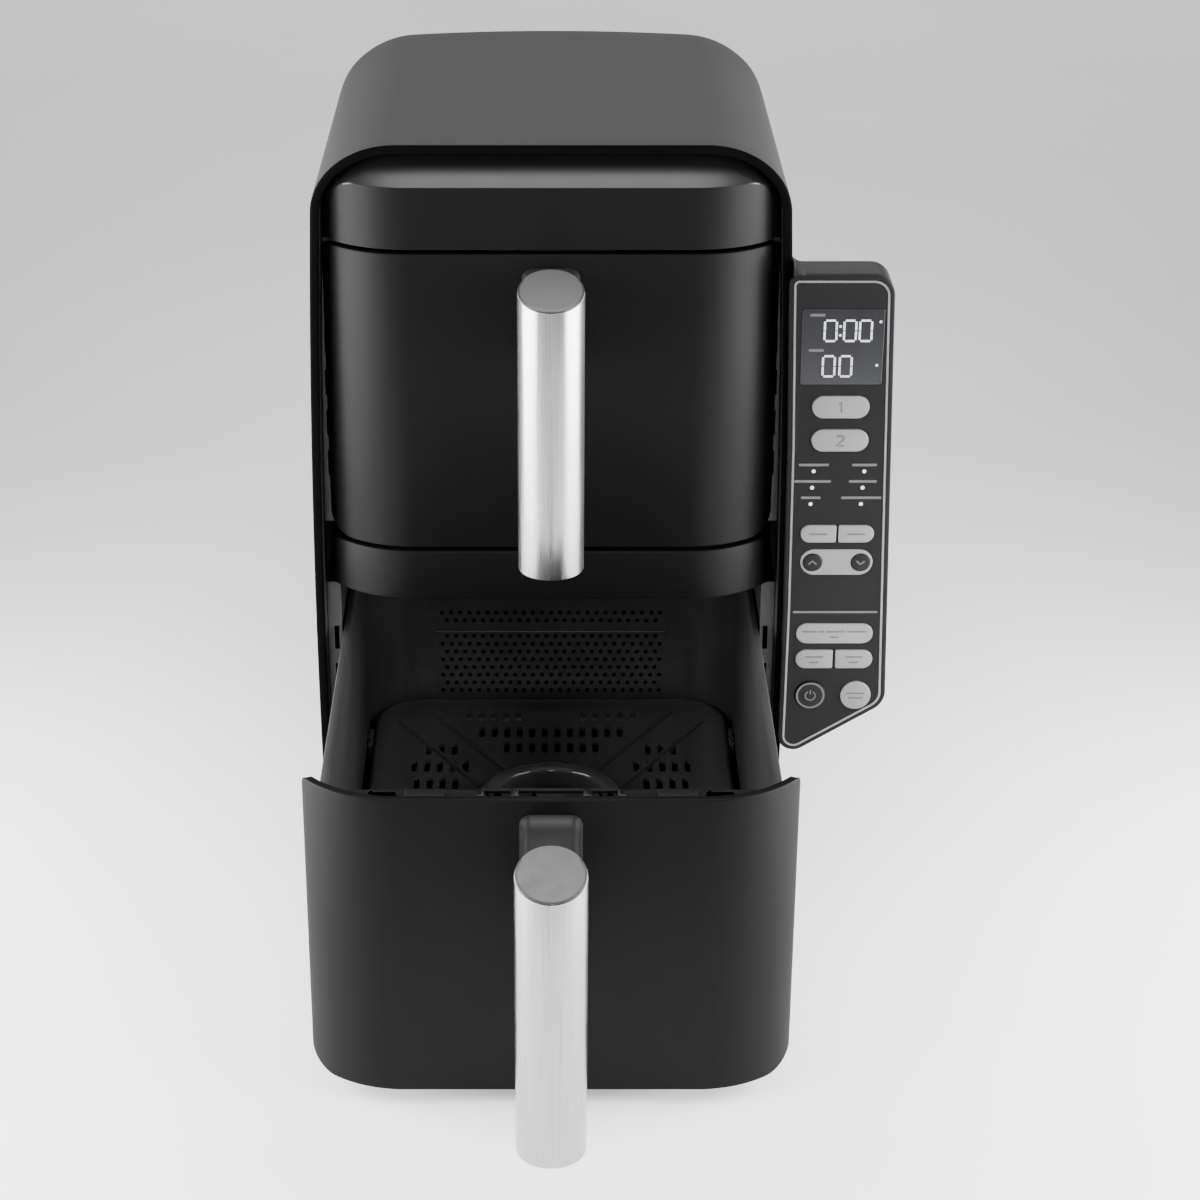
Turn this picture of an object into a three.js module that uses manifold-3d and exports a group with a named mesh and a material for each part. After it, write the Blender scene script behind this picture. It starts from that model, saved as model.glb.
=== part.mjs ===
// Air fryer with two stacked drawers and a control pod on its right-hand side.
// Millimetres, +Z up, the fronts face -Y. While it is modelled, X = 0 is the middle of the body,
// Y = 0 is the front rim of the shell and Z = 0 is the floor. At the end the whole part is moved
// so that its origin is the bottom centre of its bounding box.
import * as THREE from 'three';
import Module from 'manifold-3d';
import { mergeVertices } from 'three/addons/utils/BufferGeometryUtils.js';

const wasm = await Module();
wasm.setup();

// ---- Driving dimensions -------------------------------------------------------------------
const GAP = 0.3;                    // clearance between pieces that touch

// Outer shell
const BODY_WIDTH = 234;             // across the sides at their widest height
const BODY_HEIGHT = 385;            // floor to the flat top
const BODY_DEPTH = 350;             // front rim to rear wall
const SHELL_WALL = 4.5;
const SHELL_BOTTOM_Z = 6;
const SIDE_WIDEST_Z = 130;
const SIDE_TAPER = 4.5;             // lean of each side between its widest height and the shoulder
const TOP_CORNER_RUN = 40;          // elliptical top corners, across
const TOP_CORNER_DROP = 33;         // elliptical top corners, down
const REAR_ROLL_RUN = 160;          // length over which the top rolls down to the rear wall
const REAR_ROLL_RADIUS = 165;
const REAR_ROLL_ANGLE = 25 * Math.PI / 180;
const REAR_CORNER_RADIUS = 50;

// Front faces: flat in the middle, with round ends in plan
const FRONT_INSET = 8.7;            // ends of the fronts inside the body's widest line
const FRONT_BOW = 11;               // how far the flat stands ahead of the shell rim
const FRONT_CORNER_RADIUS = 53;
const FRONT_CORNER_REACH = 42.3;    // width taken by each round end
const FRONT_RETURN_Y = 12;          // where the front panels' side edges end
const PANEL_THICKNESS = 4;
const PANEL_FOOT_RADIUS = 11;       // lower corners of a drawer front
const PANEL_TOP_RADIUS = 1.5;
const BACKING_REAR_Y = 5;
const BACKING_DROP = 3.5;           // backing ledge below the top edge of the panel

// Top fascia: above its front face a brow slopes back under the shell's rim
const FASCIA_BROW_DROP = 12;        // front face's upper edge below the rim
const FASCIA_BROW_STEP = 3.5;       // rear edge of the brow below the rim
const FASCIA_BROW_Y = 8;            // rear edge of the brow
const FASCIA_REAR_Y = 60;

// Heights of the fronts
const FRONT_BOTTOM_Z = 8;
const SEAM = 2;
const BAND_HEIGHT = 26;
const FASCIA_HEIGHT = 46.5;         // top edge of the upper drawer to the top of the shell
const FRONT_HEIGHT = (BODY_HEIGHT - FASCIA_HEIGHT - FRONT_BOTTOM_Z - BAND_HEIGHT - 3 * SEAM) / 2;
const DRAWER_PITCH = FRONT_HEIGHT + BAND_HEIGHT + 2 * SEAM;
const BAND_BOTTOM_Z = FRONT_BOTTOM_Z + FRONT_HEIGHT + SEAM;

// Drawer bays
const SHEET = 1;
const LINER_INSET = 11.8;           // inside of the bay to the body's widest line
const LINER_FLOOR_Z = 13;
const LINER_FRONT_Y = 13;
const LINER_REAR_GAP = 7;           // liner's rear wall to the outside of the shell's rear wall
const FLANGE_WINDOW_HEIGHT = 13;
const FLANGE_WINDOW_WIDTH = 2.4;
const FLANGE_WINDOW_PITCH = 21;
const FLANGE_WINDOW_COUNT = 5;

// Basket
const BASKET_SIDE_PLAY = 1.2;       // flange to liner
const BASKET_FLANGE = 2;
const BASKET_WALL = 1.5;
const BASKET_CORNER = 30;
const BASKET_FLANGE_CORNER = 10;
const BASKET_TAPER = 1.5;           // each wall leans in towards the floor
const BASKET_FRONT_Y = 10;          // inside of the front wall, drawer closed
const BASKET_RIM_DROP = 22.5;       // rim below the top of the drawer front
const BASKET_LIFT = 0.5;            // underside above the liner floor
const FAN_CHAMBER = 13;             // basket flange to the liner's rear wall
const VENT_SIZE = 6;
const VENT_PITCH_X = 14;
const VENT_PITCH_Z = 13;
const VENT_COLUMNS = 8;
const VENT_ROWS = 4;
const VENT_LOW_Z = 45;

// Crisper plate
const PLATE_THICKNESS = 2.5;
const PLATE_HEIGHT = 18;            // plate underside above the basket floor
const PLATE_MARGIN = 3.2;           // plate edge to the basket wall, filled by the bumpers
const PLATE_SKIRT = 8;
const PLATE_SKIRT_WALL = 2;
const PLATE_LEG = 9;
const PLATE_LEG_INSET = 26;
const RING_INNER = 29;
const RING_OUTER = 39;
const RING_HEIGHT = 14.5;
const RING_BACK = 7;                // ring centre behind the plate centre
const RING_HOLE = 12;
const SLOT_WIDTH = 4;
const SLOT_LENGTH = 12;
const SLOT_PITCH = 9.4;
const BUMPER_LENGTH = 18;
const BUMPER_HEIGHT = 9;
const BUMPER_INSET = 50;

// Handle
const HANDLE_RADIUS = 15;
const HANDLE_REACH = 72.5;          // handle axis ahead of the drawer front
const HANDLE_WALL = 1.2;
const HANDLE_BOTTOM_RISE = 22.5;    // lower end above the lower edge of the front
const HANDLE_TOP_RISE = 6;          // middle of the slanted end above the upper edge of the front
const HANDLE_SLANT = Math.tan(18.5 * Math.PI / 180);
const CAP_THICKNESS = 2;
const ARM_WIDTH = 25;
const ARM_HEIGHT = 45;
const ARM_DROP = 8;                 // arm's top below the upper edge of the front

// How far the lower drawer stands open, and the sealed pieces behind the baskets
const LOWER_DRAWER_PULL = 197;
const FAN_Z = 75;                   // fan axis above the floor, lower bay
const FAN_RADIUS = 47;
const FAN_THICKNESS = 6;
const FAN_HUB_RADIUS = 9;
const FAN_BLADES = 7;
const SHAFT_RADIUS = 2.5;
const SHAFT_HOLE_RADIUS = 5;
const HEATER_RADIUS = 56;
const HEATER_TUBE = 2.5;
const HEATER_GAP_ANGLE = 0.45;
const MOTOR_RADIUS = 20;
const MOTOR_LENGTH = 21;
const GUARD_SLOT_COUNT = 9;
const GUARD_SLOT_PITCH = 11;
const GUARD_RADIUS = 56;

// Rear cover, base and feet
const COVER_HALF = 85;
const COVER_BOTTOM_Z = 25;
const COVER_TOP_DROP = 95;          // opening's top below the top of the shell
const COVER_DEPTH = 22;             // stands behind the rear wall
const COVER_WALL = 2.5;
const COVER_FLANGE = 4;
const COVER_CORNER = 10;
const FOOT_RADIUS = 11;
const FOOT_INSET_X = 29;
const FOOT_INSET_Y = 40;
const TRAY_FLOOR = 2.5;
const GLAND_RADIUS = 6;
const GLAND_INSET = 17;
const GLAND_Z = 45;

// Control pod
const POD_TOP_DROP = 61;
const POD_HEIGHT = 265;
const POD_TOP_REACH = 44.7;         // right edge beyond the body's widest line, at the top
const POD_LOW_REACH = 51.2;         // right edge beyond the body's widest line, above the slope
const POD_SLOPE_RISE = 33;
const POD_FRONT_Y = -5;
const POD_DEPTH = 24;
const POD_WALL = 2.5;
const FACE_THICKNESS = 2.7;
const FACE_OVERLAP = 2;             // face plate in front of the shell rim
const TRIM_INSET = 2.4;
const TRIM_WIDTH = 1;
const GROOVE_DEPTH = 0.9;
const BOARD_BACK = 9;
const BOARD_THICKNESS = 1.6;
const BOARD_WIDTH = 34;
const KEY_PROUD = 0.9;
const KEY_FLANGE = 0.8;
const KEY_FLANGE_LIP = 1;
const WINDOW_DEPTH = 1.8;
const WIRE_SLOT_Y = 6;

// Keys: name, middle across from the panel's centre line, drop below the pod's top, width, height,
// and the radii of the left and right ends
const KEYS = [
  ['zone_1_key', 0, 65.7, 27.4, 11.3, 5.6, 5.6],
  ['zone_2_key', 0, 82.8, 27.4, 11.3, 5.6, 5.6],
  ['time_key', -9.2, 131.9, 17.4, 9.1, 4.5, 1],
  ['heat_key', 9.2, 131.9, 17.4, 9.1, 1, 4.5],
  ['up_key', -11.8, 147.2, 9.2, 9.2, 4.6, 4.6],
  ['down_key', 11.8, 147.2, 9.2, 9.2, 4.6, 4.6],
  ['dual_key', 0, 186, 38, 10.7, 5.3, 5.3],
  ['copy_key', -9.9, 200.2, 18.6, 10, 4.9, 1],
  ['hold_key', 9.9, 200.2, 18.6, 10, 1, 4.9],
  ['power_key', -11.3, 220.4, 15.4, 15.4, 7.7, 7.7],
  ['start_key', 11.3, 220.4, 15.4, 15.4, 7.7, 7.7],
];
const DISPLAY = { drop: 35.4, width: 39, height: 38, corner: 1 };
const ARROW_BEZEL = { drop: 147.2, width: 35.4, height: 13.6 };

// ---- Derived places -----------------------------------------------------------------------
const HALF = BODY_WIDTH / 2;
const FRONT_HALF = HALF - FRONT_INSET;
const SHOULDER_Z = BODY_HEIGHT - TOP_CORNER_DROP;
const FRONT_TOP_Z = FRONT_BOTTOM_Z + FRONT_HEIGHT;
const LINER_INNER_HALF = HALF - LINER_INSET;
const LINER_TOP_Z = FRONT_TOP_Z - 0.5;
const LINER_REAR_Y = BODY_DEPTH - LINER_REAR_GAP;
const BASKET_RIM_Z = FRONT_TOP_Z - BASKET_RIM_DROP;
const BASKET_UNDER_Z = LINER_FLOOR_Z + BASKET_LIFT;
const BASKET_FLOOR_Z = BASKET_UNDER_Z + BASKET_WALL;
const BASKET_FLANGE_HALF = LINER_INNER_HALF - BASKET_SIDE_PLAY;
const BASKET_HALF = BASKET_FLANGE_HALF - BASKET_FLANGE - BASKET_WALL;
const BASKET_END_Y = LINER_REAR_Y - FAN_CHAMBER;
const BASKET_REAR_Y = BASKET_END_Y - BASKET_FLANGE - BASKET_WALL;
const PLATE_Z = BASKET_FLOOR_Z + PLATE_HEIGHT;
const PLATE_TOP_Z = PLATE_Z + PLATE_THICKNESS;
const POD_TOP_Z = BODY_HEIGHT - POD_TOP_DROP;
const POD_BOTTOM_Z = POD_TOP_Z - POD_HEIGHT;
const FACE_REAR_Y = POD_FRONT_Y + FACE_THICKNESS;

// ---- Solids -------------------------------------------------------------------------------
function solid(geometry) {
  geometry.deleteAttribute('normal');
  geometry.deleteAttribute('uv');
  const merged = mergeVertices(geometry, 1e-4);
  return new wasm.Manifold(new wasm.Mesh({
    numProp: 3,
    vertProperties: new Float32Array(merged.attributes.position.array),
    triVerts: new Uint32Array(merged.index.array),
  }));
}

function geometryOf(body) {
  const mesh = body.getMesh();
  const geometry = new THREE.BufferGeometry();
  geometry.setAttribute('position', new THREE.BufferAttribute(new Float32Array(mesh.vertProperties), 3));
  geometry.setIndex(new THREE.BufferAttribute(new Uint32Array(mesh.triVerts), 1));
  geometry.computeVertexNormals();
  return geometry;
}

function extrude(points, depth) {
  const shape = new THREE.Shape(points.map(([u, v]) => new THREE.Vector2(u, v)));
  return new THREE.ExtrudeGeometry(shape, { depth, bevelEnabled: false });
}

// A profile drawn in (X, Z), carried along Y
function alongY(points, y0, y1) {
  return solid(extrude(points, y1 - y0).rotateX(Math.PI / 2).translate(0, y1, 0));
}

// A profile drawn in (X, Y), carried along Z
function alongZ(points, z0, z1) {
  return solid(extrude(points, z1 - z0).translate(0, 0, z0));
}

// A profile drawn in (Y, Z), carried along X
function alongX(points, x0, x1) {
  const turn = new THREE.Matrix4().makeBasis(
    new THREE.Vector3(0, 1, 0), new THREE.Vector3(0, 0, 1), new THREE.Vector3(1, 0, 0));
  return solid(extrude(points, x1 - x0).applyMatrix4(turn).translate(x0, 0, 0));
}

function block(x0, x1, y0, y1, z0, z1) {
  const box = new THREE.BoxGeometry(x1 - x0, y1 - y0, z1 - z0);
  return solid(box.translate((x0 + x1) / 2, (y0 + y1) / 2, (z0 + z1) / 2));
}

// Stacked rings of equal point counts, joined into one closed body with flat ends
function loft(rings) {
  const count = rings[0].length;
  const index = [];
  for (let r = 0; r < rings.length - 1; r += 1) {
    for (let i = 0; i < count; i += 1) {
      const a = r * count + i;
      const b = r * count + (i + 1) % count;
      index.push(a, b, b + count, a, b + count, a + count);
    }
  }
  const last = (rings.length - 1) * count;
  for (let i = 1; i < count - 1; i += 1) {
    index.push(0, i + 1, i);
    index.push(last, last + i, last + i + 1);
  }
  const geometry = new THREE.BufferGeometry();
  geometry.setAttribute('position', new THREE.Float32BufferAttribute(rings.flat(2), 3));
  geometry.setIndex(index);
  return solid(geometry);
}

// Joins many cutters into one body, so that one cut removes them all
function joined(bodies) {
  return bodies.reduce((sum, body) => sum.add(body));
}

// ---- Outlines -----------------------------------------------------------------------------
function arc(u, v, radiusU, radiusV, from, to, steps) {
  const points = [];
  for (let i = 0; i <= steps; i += 1) {
    const angle = from + (to - from) * i / steps;
    points.push([u + radiusU * Math.cos(angle), v + radiusV * Math.sin(angle)]);
  }
  return points;
}

function circle(u, v, radius, sides) {
  return arc(u, v, radius, radius, 0, 2 * Math.PI, sides).slice(0, sides);
}

// A rectangle whose left and right corners may have different radii
function rounded(u0, u1, v0, v1, leftRadius, rightRadius = leftRadius, steps = 4) {
  const quarter = Math.PI / 2;
  const l = leftRadius;
  const r = rightRadius;
  return [
    ...arc(u1 - r, v0 + r, r, r, -quarter, 0, steps),
    ...arc(u1 - r, v1 - r, r, r, 0, quarter, steps),
    ...arc(u0 + l, v1 - l, l, l, quarter, 2 * quarter, steps),
    ...arc(u0 + l, v0 + l, l, l, 2 * quarter, 3 * quarter, steps),
  ];
}

function mirrored(half) {
  return [...half, ...half.map(([u, v]) => [-u, v]).reverse()];
}

// Half width of the shell's side at a height
function sideX(z) {
  const lean = (z - SIDE_WIDEST_Z) / (SHOULDER_Z - SIDE_WIDEST_Z);
  return HALF - SIDE_TAPER * lean * lean;
}

// The shell seen from the front, in (X, Z), between two heights, drawn inwards by an inset
function shellOutline(inset, bottomZ, topZ) {
  const shoulderZ = topZ + inset - TOP_CORNER_DROP;
  const rise = shoulderZ - SIDE_WIDEST_Z;
  const heights = [bottomZ, (bottomZ + SIDE_WIDEST_Z) / 2, SIDE_WIDEST_Z,
    SIDE_WIDEST_Z + rise / 3, SIDE_WIDEST_Z + rise * 2 / 3];
  const half = heights.map((z) => [sideX(z) - inset, z]);
  const cornerX = sideX(shoulderZ) - TOP_CORNER_RUN;
  const corner = arc(cornerX, shoulderZ, TOP_CORNER_RUN - inset, TOP_CORNER_DROP - inset, 0, Math.PI / 2, 8);
  return mirrored([...half, ...corner]);
}

// Line of the shell's top in (Y, Z), from the rear wall forwards: it rolls up to a flat top
function topLine(inset) {
  const topY = BODY_DEPTH - REAR_ROLL_RUN;
  const quarter = Math.PI / 2;
  const slopeAngle = quarter - REAR_ROLL_ANGLE;
  const slopeY = topY + REAR_ROLL_RADIUS * Math.sin(REAR_ROLL_ANGLE);
  const slopeZ = BODY_HEIGHT - REAR_ROLL_RADIUS * (1 - Math.cos(REAR_ROLL_ANGLE));
  const r = REAR_CORNER_RADIUS;
  const cornerStartY = BODY_DEPTH - r * (1 - Math.sin(REAR_ROLL_ANGLE));
  const cornerStartZ = slopeZ - (cornerStartY - slopeY) * Math.tan(REAR_ROLL_ANGLE);
  const cornerZ = cornerStartZ - r * Math.cos(REAR_ROLL_ANGLE);
  const big = REAR_ROLL_RADIUS - inset;
  return [
    ...arc(BODY_DEPTH - r, cornerZ, r - inset, r - inset, 0, slopeAngle, 6),
    ...arc(topY, BODY_HEIGHT - REAR_ROLL_RADIUS, big, big, slopeAngle, quarter, 4),
  ];
}

// The shell's whole volume: its front outline carried back under the line of the top
function shellBody(inset, frontY, bottomZ) {
  const stations = [...topLine(inset), [frontY, BODY_HEIGHT - inset]];
  return loft(stations.map(([y, z]) => shellOutline(inset, bottomZ, z).map(([x, height]) => [x, y, height])));
}

// The space inside the shell, less a clearance
function insideShell(clearance, bottomZ) {
  return shellBody(SHELL_WALL + clearance, -60, bottomZ);
}

// The bowed front in plan, in (X, Y), drawn inwards by an inset, from the left end to the right
function frontCurve(inset, rearY, half = FRONT_HALF - inset) {
  const radius = FRONT_CORNER_RADIUS - inset;
  const flat = FRONT_HALF - FRONT_CORNER_REACH;
  const centreY = FRONT_CORNER_RADIUS - FRONT_BOW;
  const byWidth = Math.asin((half - flat) / radius);
  const byDepth = Math.acos(Math.min(1, Math.max(0, (centreY - rearY) / radius)));
  const sweep = Math.min(byWidth, byDepth);
  const quarter = Math.PI / 2;
  const end = arc(flat, centreY, radius, radius, -quarter, sweep - quarter, 7);
  if (byWidth < byDepth) end.push([half, rearY]);
  const start = end.map(([x, y]) => [-x, y]).reverse();
  return [...start, ...end];
}

// ---- Body ---------------------------------------------------------------------------------
function outerShell() {
  const outside = shellBody(0, 0, SHELL_BOTTOM_Z);
  const rearOpening = rounded(-COVER_HALF, COVER_HALF, COVER_BOTTOM_Z, BODY_HEIGHT - COVER_TOP_DROP, COVER_CORNER);
  const glandHole = circle(HALF - GLAND_INSET, GLAND_Z, GLAND_RADIUS, 12);
  const wireSlot = block(HALF - 15, HALF + 5, WIRE_SLOT_Y, WIRE_SLOT_Y + 6, POD_TOP_Z - 140, POD_TOP_Z - 120);
  return outside
    .subtract(insideShell(0, -10))
    .subtract(alongY(rearOpening, BODY_DEPTH - 20, BODY_DEPTH + 1))
    .subtract(alongY(glandHole, BODY_DEPTH - 20, BODY_DEPTH + 1))
    .subtract(wireSlot);
}

function baseTray() {
  const top = LINER_FLOOR_Z - SHEET - GAP;
  const inner = HALF - 14;
  const tray = insideShell(GAP, SHELL_BOTTOM_Z)
    .intersect(block(-HALF, HALF, LINER_FRONT_Y + 1, BODY_DEPTH, SHELL_BOTTOM_Z, top));
  const rear = BODY_DEPTH - 14;
  const pocket = block(-inner, inner, 30, rear, SHELL_BOTTOM_Z + TRAY_FLOOR, top + 1);
  const vents = [];
  for (let i = 0; i < 6; i += 1) {
    const y = 90 + i * (rear - 150) / 5;
    vents.push(alongZ(rounded(-45, 45, y - 3, y + 3, 2.9, 2.9, 1), 0, SHELL_BOTTOM_Z + TRAY_FLOOR + 1));
  }
  return tray.subtract(pocket).subtract(joined(vents));
}

function foot(x, y) {
  const top = SHELL_BOTTOM_Z - GAP;
  const profile = [[0, 0], [FOOT_RADIUS - 1.5, 0], [FOOT_RADIUS, 1.5], [FOOT_RADIUS, top], [0, top]];
  const turned = new THREE.LatheGeometry(profile.map(([r, z]) => new THREE.Vector2(r, z)), 16);
  return solid(turned.rotateX(Math.PI / 2).translate(x, y, 0));
}

// A bowed slab between two heights that fills the shell's mouth
function bowedSlab(z0, z1, rearY) {
  return alongZ(frontCurve(0, rearY), z0, z1);
}

function topFascia() {
  const bottomZ = FRONT_TOP_Z + DRAWER_PITCH + SEAM;
  const top = BODY_HEIGHT - SHELL_WALL - GAP;
  const edgeZ = top - FASCIA_BROW_DROP;
  const nose = [
    [FASCIA_REAR_Y, bottomZ],
    [FASCIA_REAR_Y, top],
    [FASCIA_BROW_Y + 6, top],
    [FASCIA_BROW_Y, top - FASCIA_BROW_STEP],
    [1.5 - FRONT_BOW, edgeZ],
    [-FRONT_BOW, edgeZ - 1.5],
    [-FRONT_BOW, bottomZ],
  ];
  const body = bowedSlab(bottomZ, top, LINER_FRONT_Y + 1)
    .add(block(-FRONT_HALF, FRONT_HALF, LINER_FRONT_Y, FASCIA_REAR_Y, bottomZ, top))
    .intersect(alongX(nose, -HALF, HALF))
    .intersect(insideShell(GAP, 0));
  const pocket = block(-HALF + 34, HALF - 34, 4, FASCIA_REAR_Y + 1, bottomZ + 4, top - 8);
  return body.subtract(pocket);
}

function middleFascia() {
  const bottomZ = BAND_BOTTOM_Z;
  const top = bottomZ + BAND_HEIGHT;
  const rear = FASCIA_REAR_Y;
  const behind = block(-HALF, HALF, LINER_FRONT_Y + SHEET + 1 + GAP, rear,
    LINER_TOP_Z + SHEET + GAP, LINER_FLOOR_Z + DRAWER_PITCH - SHEET - GAP);
  const body = bowedSlab(bottomZ, top, LINER_FRONT_Y + 3)
    .add(behind.intersect(insideShell(GAP, 0)));
  const pocket = block(-HALF + 18, HALF - 18, 2, rear + 1, bottomZ + 4, top - 4);
  return body.subtract(pocket);
}

// Sheet-metal bay with a flange at its mouth; small windows run down both sides of the flange.
// Where the shell rolls down at the rear, the bay's roof rolls with it.
function drawerBay(raise) {
  const inner = LINER_INNER_HALF;
  const rear = LINER_REAR_Y;
  const z0 = LINER_FLOOR_Z + raise;
  const z1 = LINER_TOP_Z + raise;
  const front = LINER_FRONT_Y;
  const flange = block(-HALF, HALF, front, front + SHEET, z0 - SHEET, z1 + SHEET);
  const box = block(-inner - SHEET, inner + SHEET, front, rear + SHEET, z0 - SHEET, z1 + SHEET);
  const space = block(-inner, inner, front - 1, rear, z0, z1).intersect(insideShell(GAP + SHEET, 0));
  const cuts = [space];
  const windowX = inner + SHEET + 0.6;
  const half = FLANGE_WINDOW_HEIGHT / 2;
  for (let i = 0; i < FLANGE_WINDOW_COUNT; i += 1) {
    const z = (z0 + z1) / 2 + (i - (FLANGE_WINDOW_COUNT - 1) / 2) * FLANGE_WINDOW_PITCH;
    const reach = Math.min(windowX + FLANGE_WINDOW_WIDTH, sideX(z + half) - SHELL_WALL - GAP - SHEET);
    if (reach - windowX > SHEET) {
      cuts.push(block(windowX, reach, front - 1, front + SHEET + 1, z - half, z + half));
      cuts.push(block(-reach, -windowX, front - 1, front + SHEET + 1, z - half, z + half));
    }
  }
  cuts.push(alongY(circle(0, FAN_Z + raise, SHAFT_HOLE_RADIUS, 10), rear - 1, rear + SHEET + 1));
  for (const side of [-1, 1]) {
    const [x, z] = heaterLeg(side);
    cuts.push(alongY(circle(x, z + raise, HEATER_TUBE + 0.8, 8), rear - 1, rear + SHEET + 1));
  }
  return box.add(flange).intersect(insideShell(GAP, 0)).subtract(joined(cuts));
}

function heaterLeg(side) {
  const angle = side * HEATER_GAP_ANGLE;
  return [HEATER_RADIUS * Math.cos(angle), FAN_Z + HEATER_RADIUS * Math.sin(angle)];
}

// An open heating ring whose two ends turn back through the bay's rear wall
function heater(raise) {
  const centreY = LINER_REAR_Y - 5.5;
  const steps = 28;
  const path = [];
  for (let i = 0; i <= steps; i += 1) {
    const angle = HEATER_GAP_ANGLE + 2 * (Math.PI - HEATER_GAP_ANGLE) * i / steps;
    path.push(new THREE.Vector3(HEATER_RADIUS * Math.cos(angle), centreY, FAN_Z + HEATER_RADIUS * Math.sin(angle)));
  }
  const curve = new THREE.CatmullRomCurve3(path);
  const section = new THREE.Shape(circle(0, 0, HEATER_TUBE, 6).map(([u, v]) => new THREE.Vector2(u, v)));
  const ring = solid(new THREE.ExtrudeGeometry(section, { extrudePath: curve, steps, bevelEnabled: false }));
  const legs = [-1, 1].map((side) => {
    const [x, z] = heaterLeg(side);
    return alongY(circle(x, z, HEATER_TUBE + 0.1, 6), centreY - 2, LINER_REAR_Y + 6);
  });
  return ring.add(joined(legs)).translate([0, 0, raise]);
}

// Slotted plate across the rear of the bay, ahead of the fan
function fanGuard(raise) {
  const y = BASKET_END_Y + 1;
  const half = LINER_INNER_HALF - GAP;
  const plate = block(-half, half, y, y + SHEET, LINER_FLOOR_Z + GAP, LINER_TOP_Z - GAP);
  const slots = [];
  for (let i = 0; i < GUARD_SLOT_COUNT; i += 1) {
    const z = FAN_Z + (i - (GUARD_SLOT_COUNT - 1) / 2) * GUARD_SLOT_PITCH;
    const reach = Math.sqrt(GUARD_RADIUS * GUARD_RADIUS - (z - FAN_Z) * (z - FAN_Z));
    slots.push(block(-reach, -3, y - 1, y + SHEET + 1, z - 2.2, z + 2.2));
    slots.push(block(3, reach, y - 1, y + SHEET + 1, z - 2.2, z + 2.2));
  }
  return plate.subtract(joined(slots)).translate([0, 0, raise]).intersect(insideShell(2 * GAP + SHEET, 0));
}

// Fan wheel with flat blades, on the motor's shaft
function fan(raise) {
  const rear = LINER_REAR_Y - 3;
  const front = rear - FAN_THICKNESS;
  const hub = alongY(circle(0, 0, FAN_HUB_RADIUS, 14), front, rear);
  const disc = alongY(circle(0, 0, FAN_RADIUS - 8, 20), rear - 1.2, rear);
  const shaft = alongY(circle(0, 0, SHAFT_RADIUS, 8), rear - 1, LINER_REAR_Y + 10);
  let wheel = hub.add(disc).add(shaft);
  for (let i = 0; i < FAN_BLADES; i += 1) {
    const blade = block(FAN_HUB_RADIUS - 2, FAN_RADIUS, front, rear - 0.6, -0.9, 0.9);
    wheel = wheel.add(blade.rotate([0, 8, 0]).rotate([0, 360 * i / FAN_BLADES, 0]));
  }
  return wheel.translate([0, 0, FAN_Z + raise]);
}

function motor(raise) {
  const front = LINER_REAR_Y + SHEET + GAP;
  const body = alongY(circle(0, 0, MOTOR_RADIUS, 16), front, front + MOTOR_LENGTH);
  const bore = alongY(circle(0, 0, SHAFT_RADIUS + 0.6, 10), front - 1, front + 12);
  return body.subtract(bore).translate([0, 0, FAN_Z + raise]);
}

// Vented box that closes the shell's rear opening and keeps the air outlets off a wall
function rearCover() {
  const half = COVER_HALF - GAP;
  const z0 = COVER_BOTTOM_Z + GAP;
  const z1 = BODY_HEIGHT - COVER_TOP_DROP - GAP;
  const rear = BODY_DEPTH + COVER_DEPTH;
  const front = BODY_DEPTH - 4;
  const box = alongY(rounded(-half, half, z0, z1, COVER_CORNER - GAP), front, rear);
  const lip = alongY(rounded(-half - COVER_FLANGE, half + COVER_FLANGE, z0 - COVER_FLANGE, z1 + COVER_FLANGE,
    COVER_CORNER), BODY_DEPTH + GAP, BODY_DEPTH + GAP + COVER_WALL);
  const w = COVER_WALL;
  const hollow = alongY(rounded(-half + w, half - w, z0 + w, z1 - w, COVER_CORNER - w), front - 1, rear - w);
  const slots = [];
  for (const centreZ of [FAN_Z, FAN_Z + DRAWER_PITCH]) {
    for (let i = -4; i <= 4; i += 1) {
      const z = centreZ + i * 8;
      slots.push(block(-55, 55, rear - w - 1, rear + 1, z - 2, z + 2));
    }
  }
  return box.add(lip).subtract(hollow).subtract(joined(slots));
}

// Collar through the rear wall where the supply cord enters
function cordGland() {
  const x = HALF - GLAND_INSET;
  const collar = alongY(circle(x, GLAND_Z, GLAND_RADIUS - GAP, 12), BODY_DEPTH - SHELL_WALL, BODY_DEPTH + 2);
  const flange = alongY(circle(x, GLAND_Z, GLAND_RADIUS + 3, 12), BODY_DEPTH + GAP, BODY_DEPTH + 4);
  const boss = alongY(circle(x, GLAND_Z, GLAND_RADIUS, 12), BODY_DEPTH + 3, BODY_DEPTH + 14);
  const bore = alongY(circle(x, GLAND_Z, 3.4, 10), BODY_DEPTH - 20, BODY_DEPTH + 20);
  return collar.add(flange).add(boss).subtract(bore);
}

// ---- Control pod --------------------------------------------------------------------------
function panelCentre(z) {
  const share = (POD_TOP_Z - z) / POD_HEIGHT;
  return HALF + 20.4 + share * 4.9;
}

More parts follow.
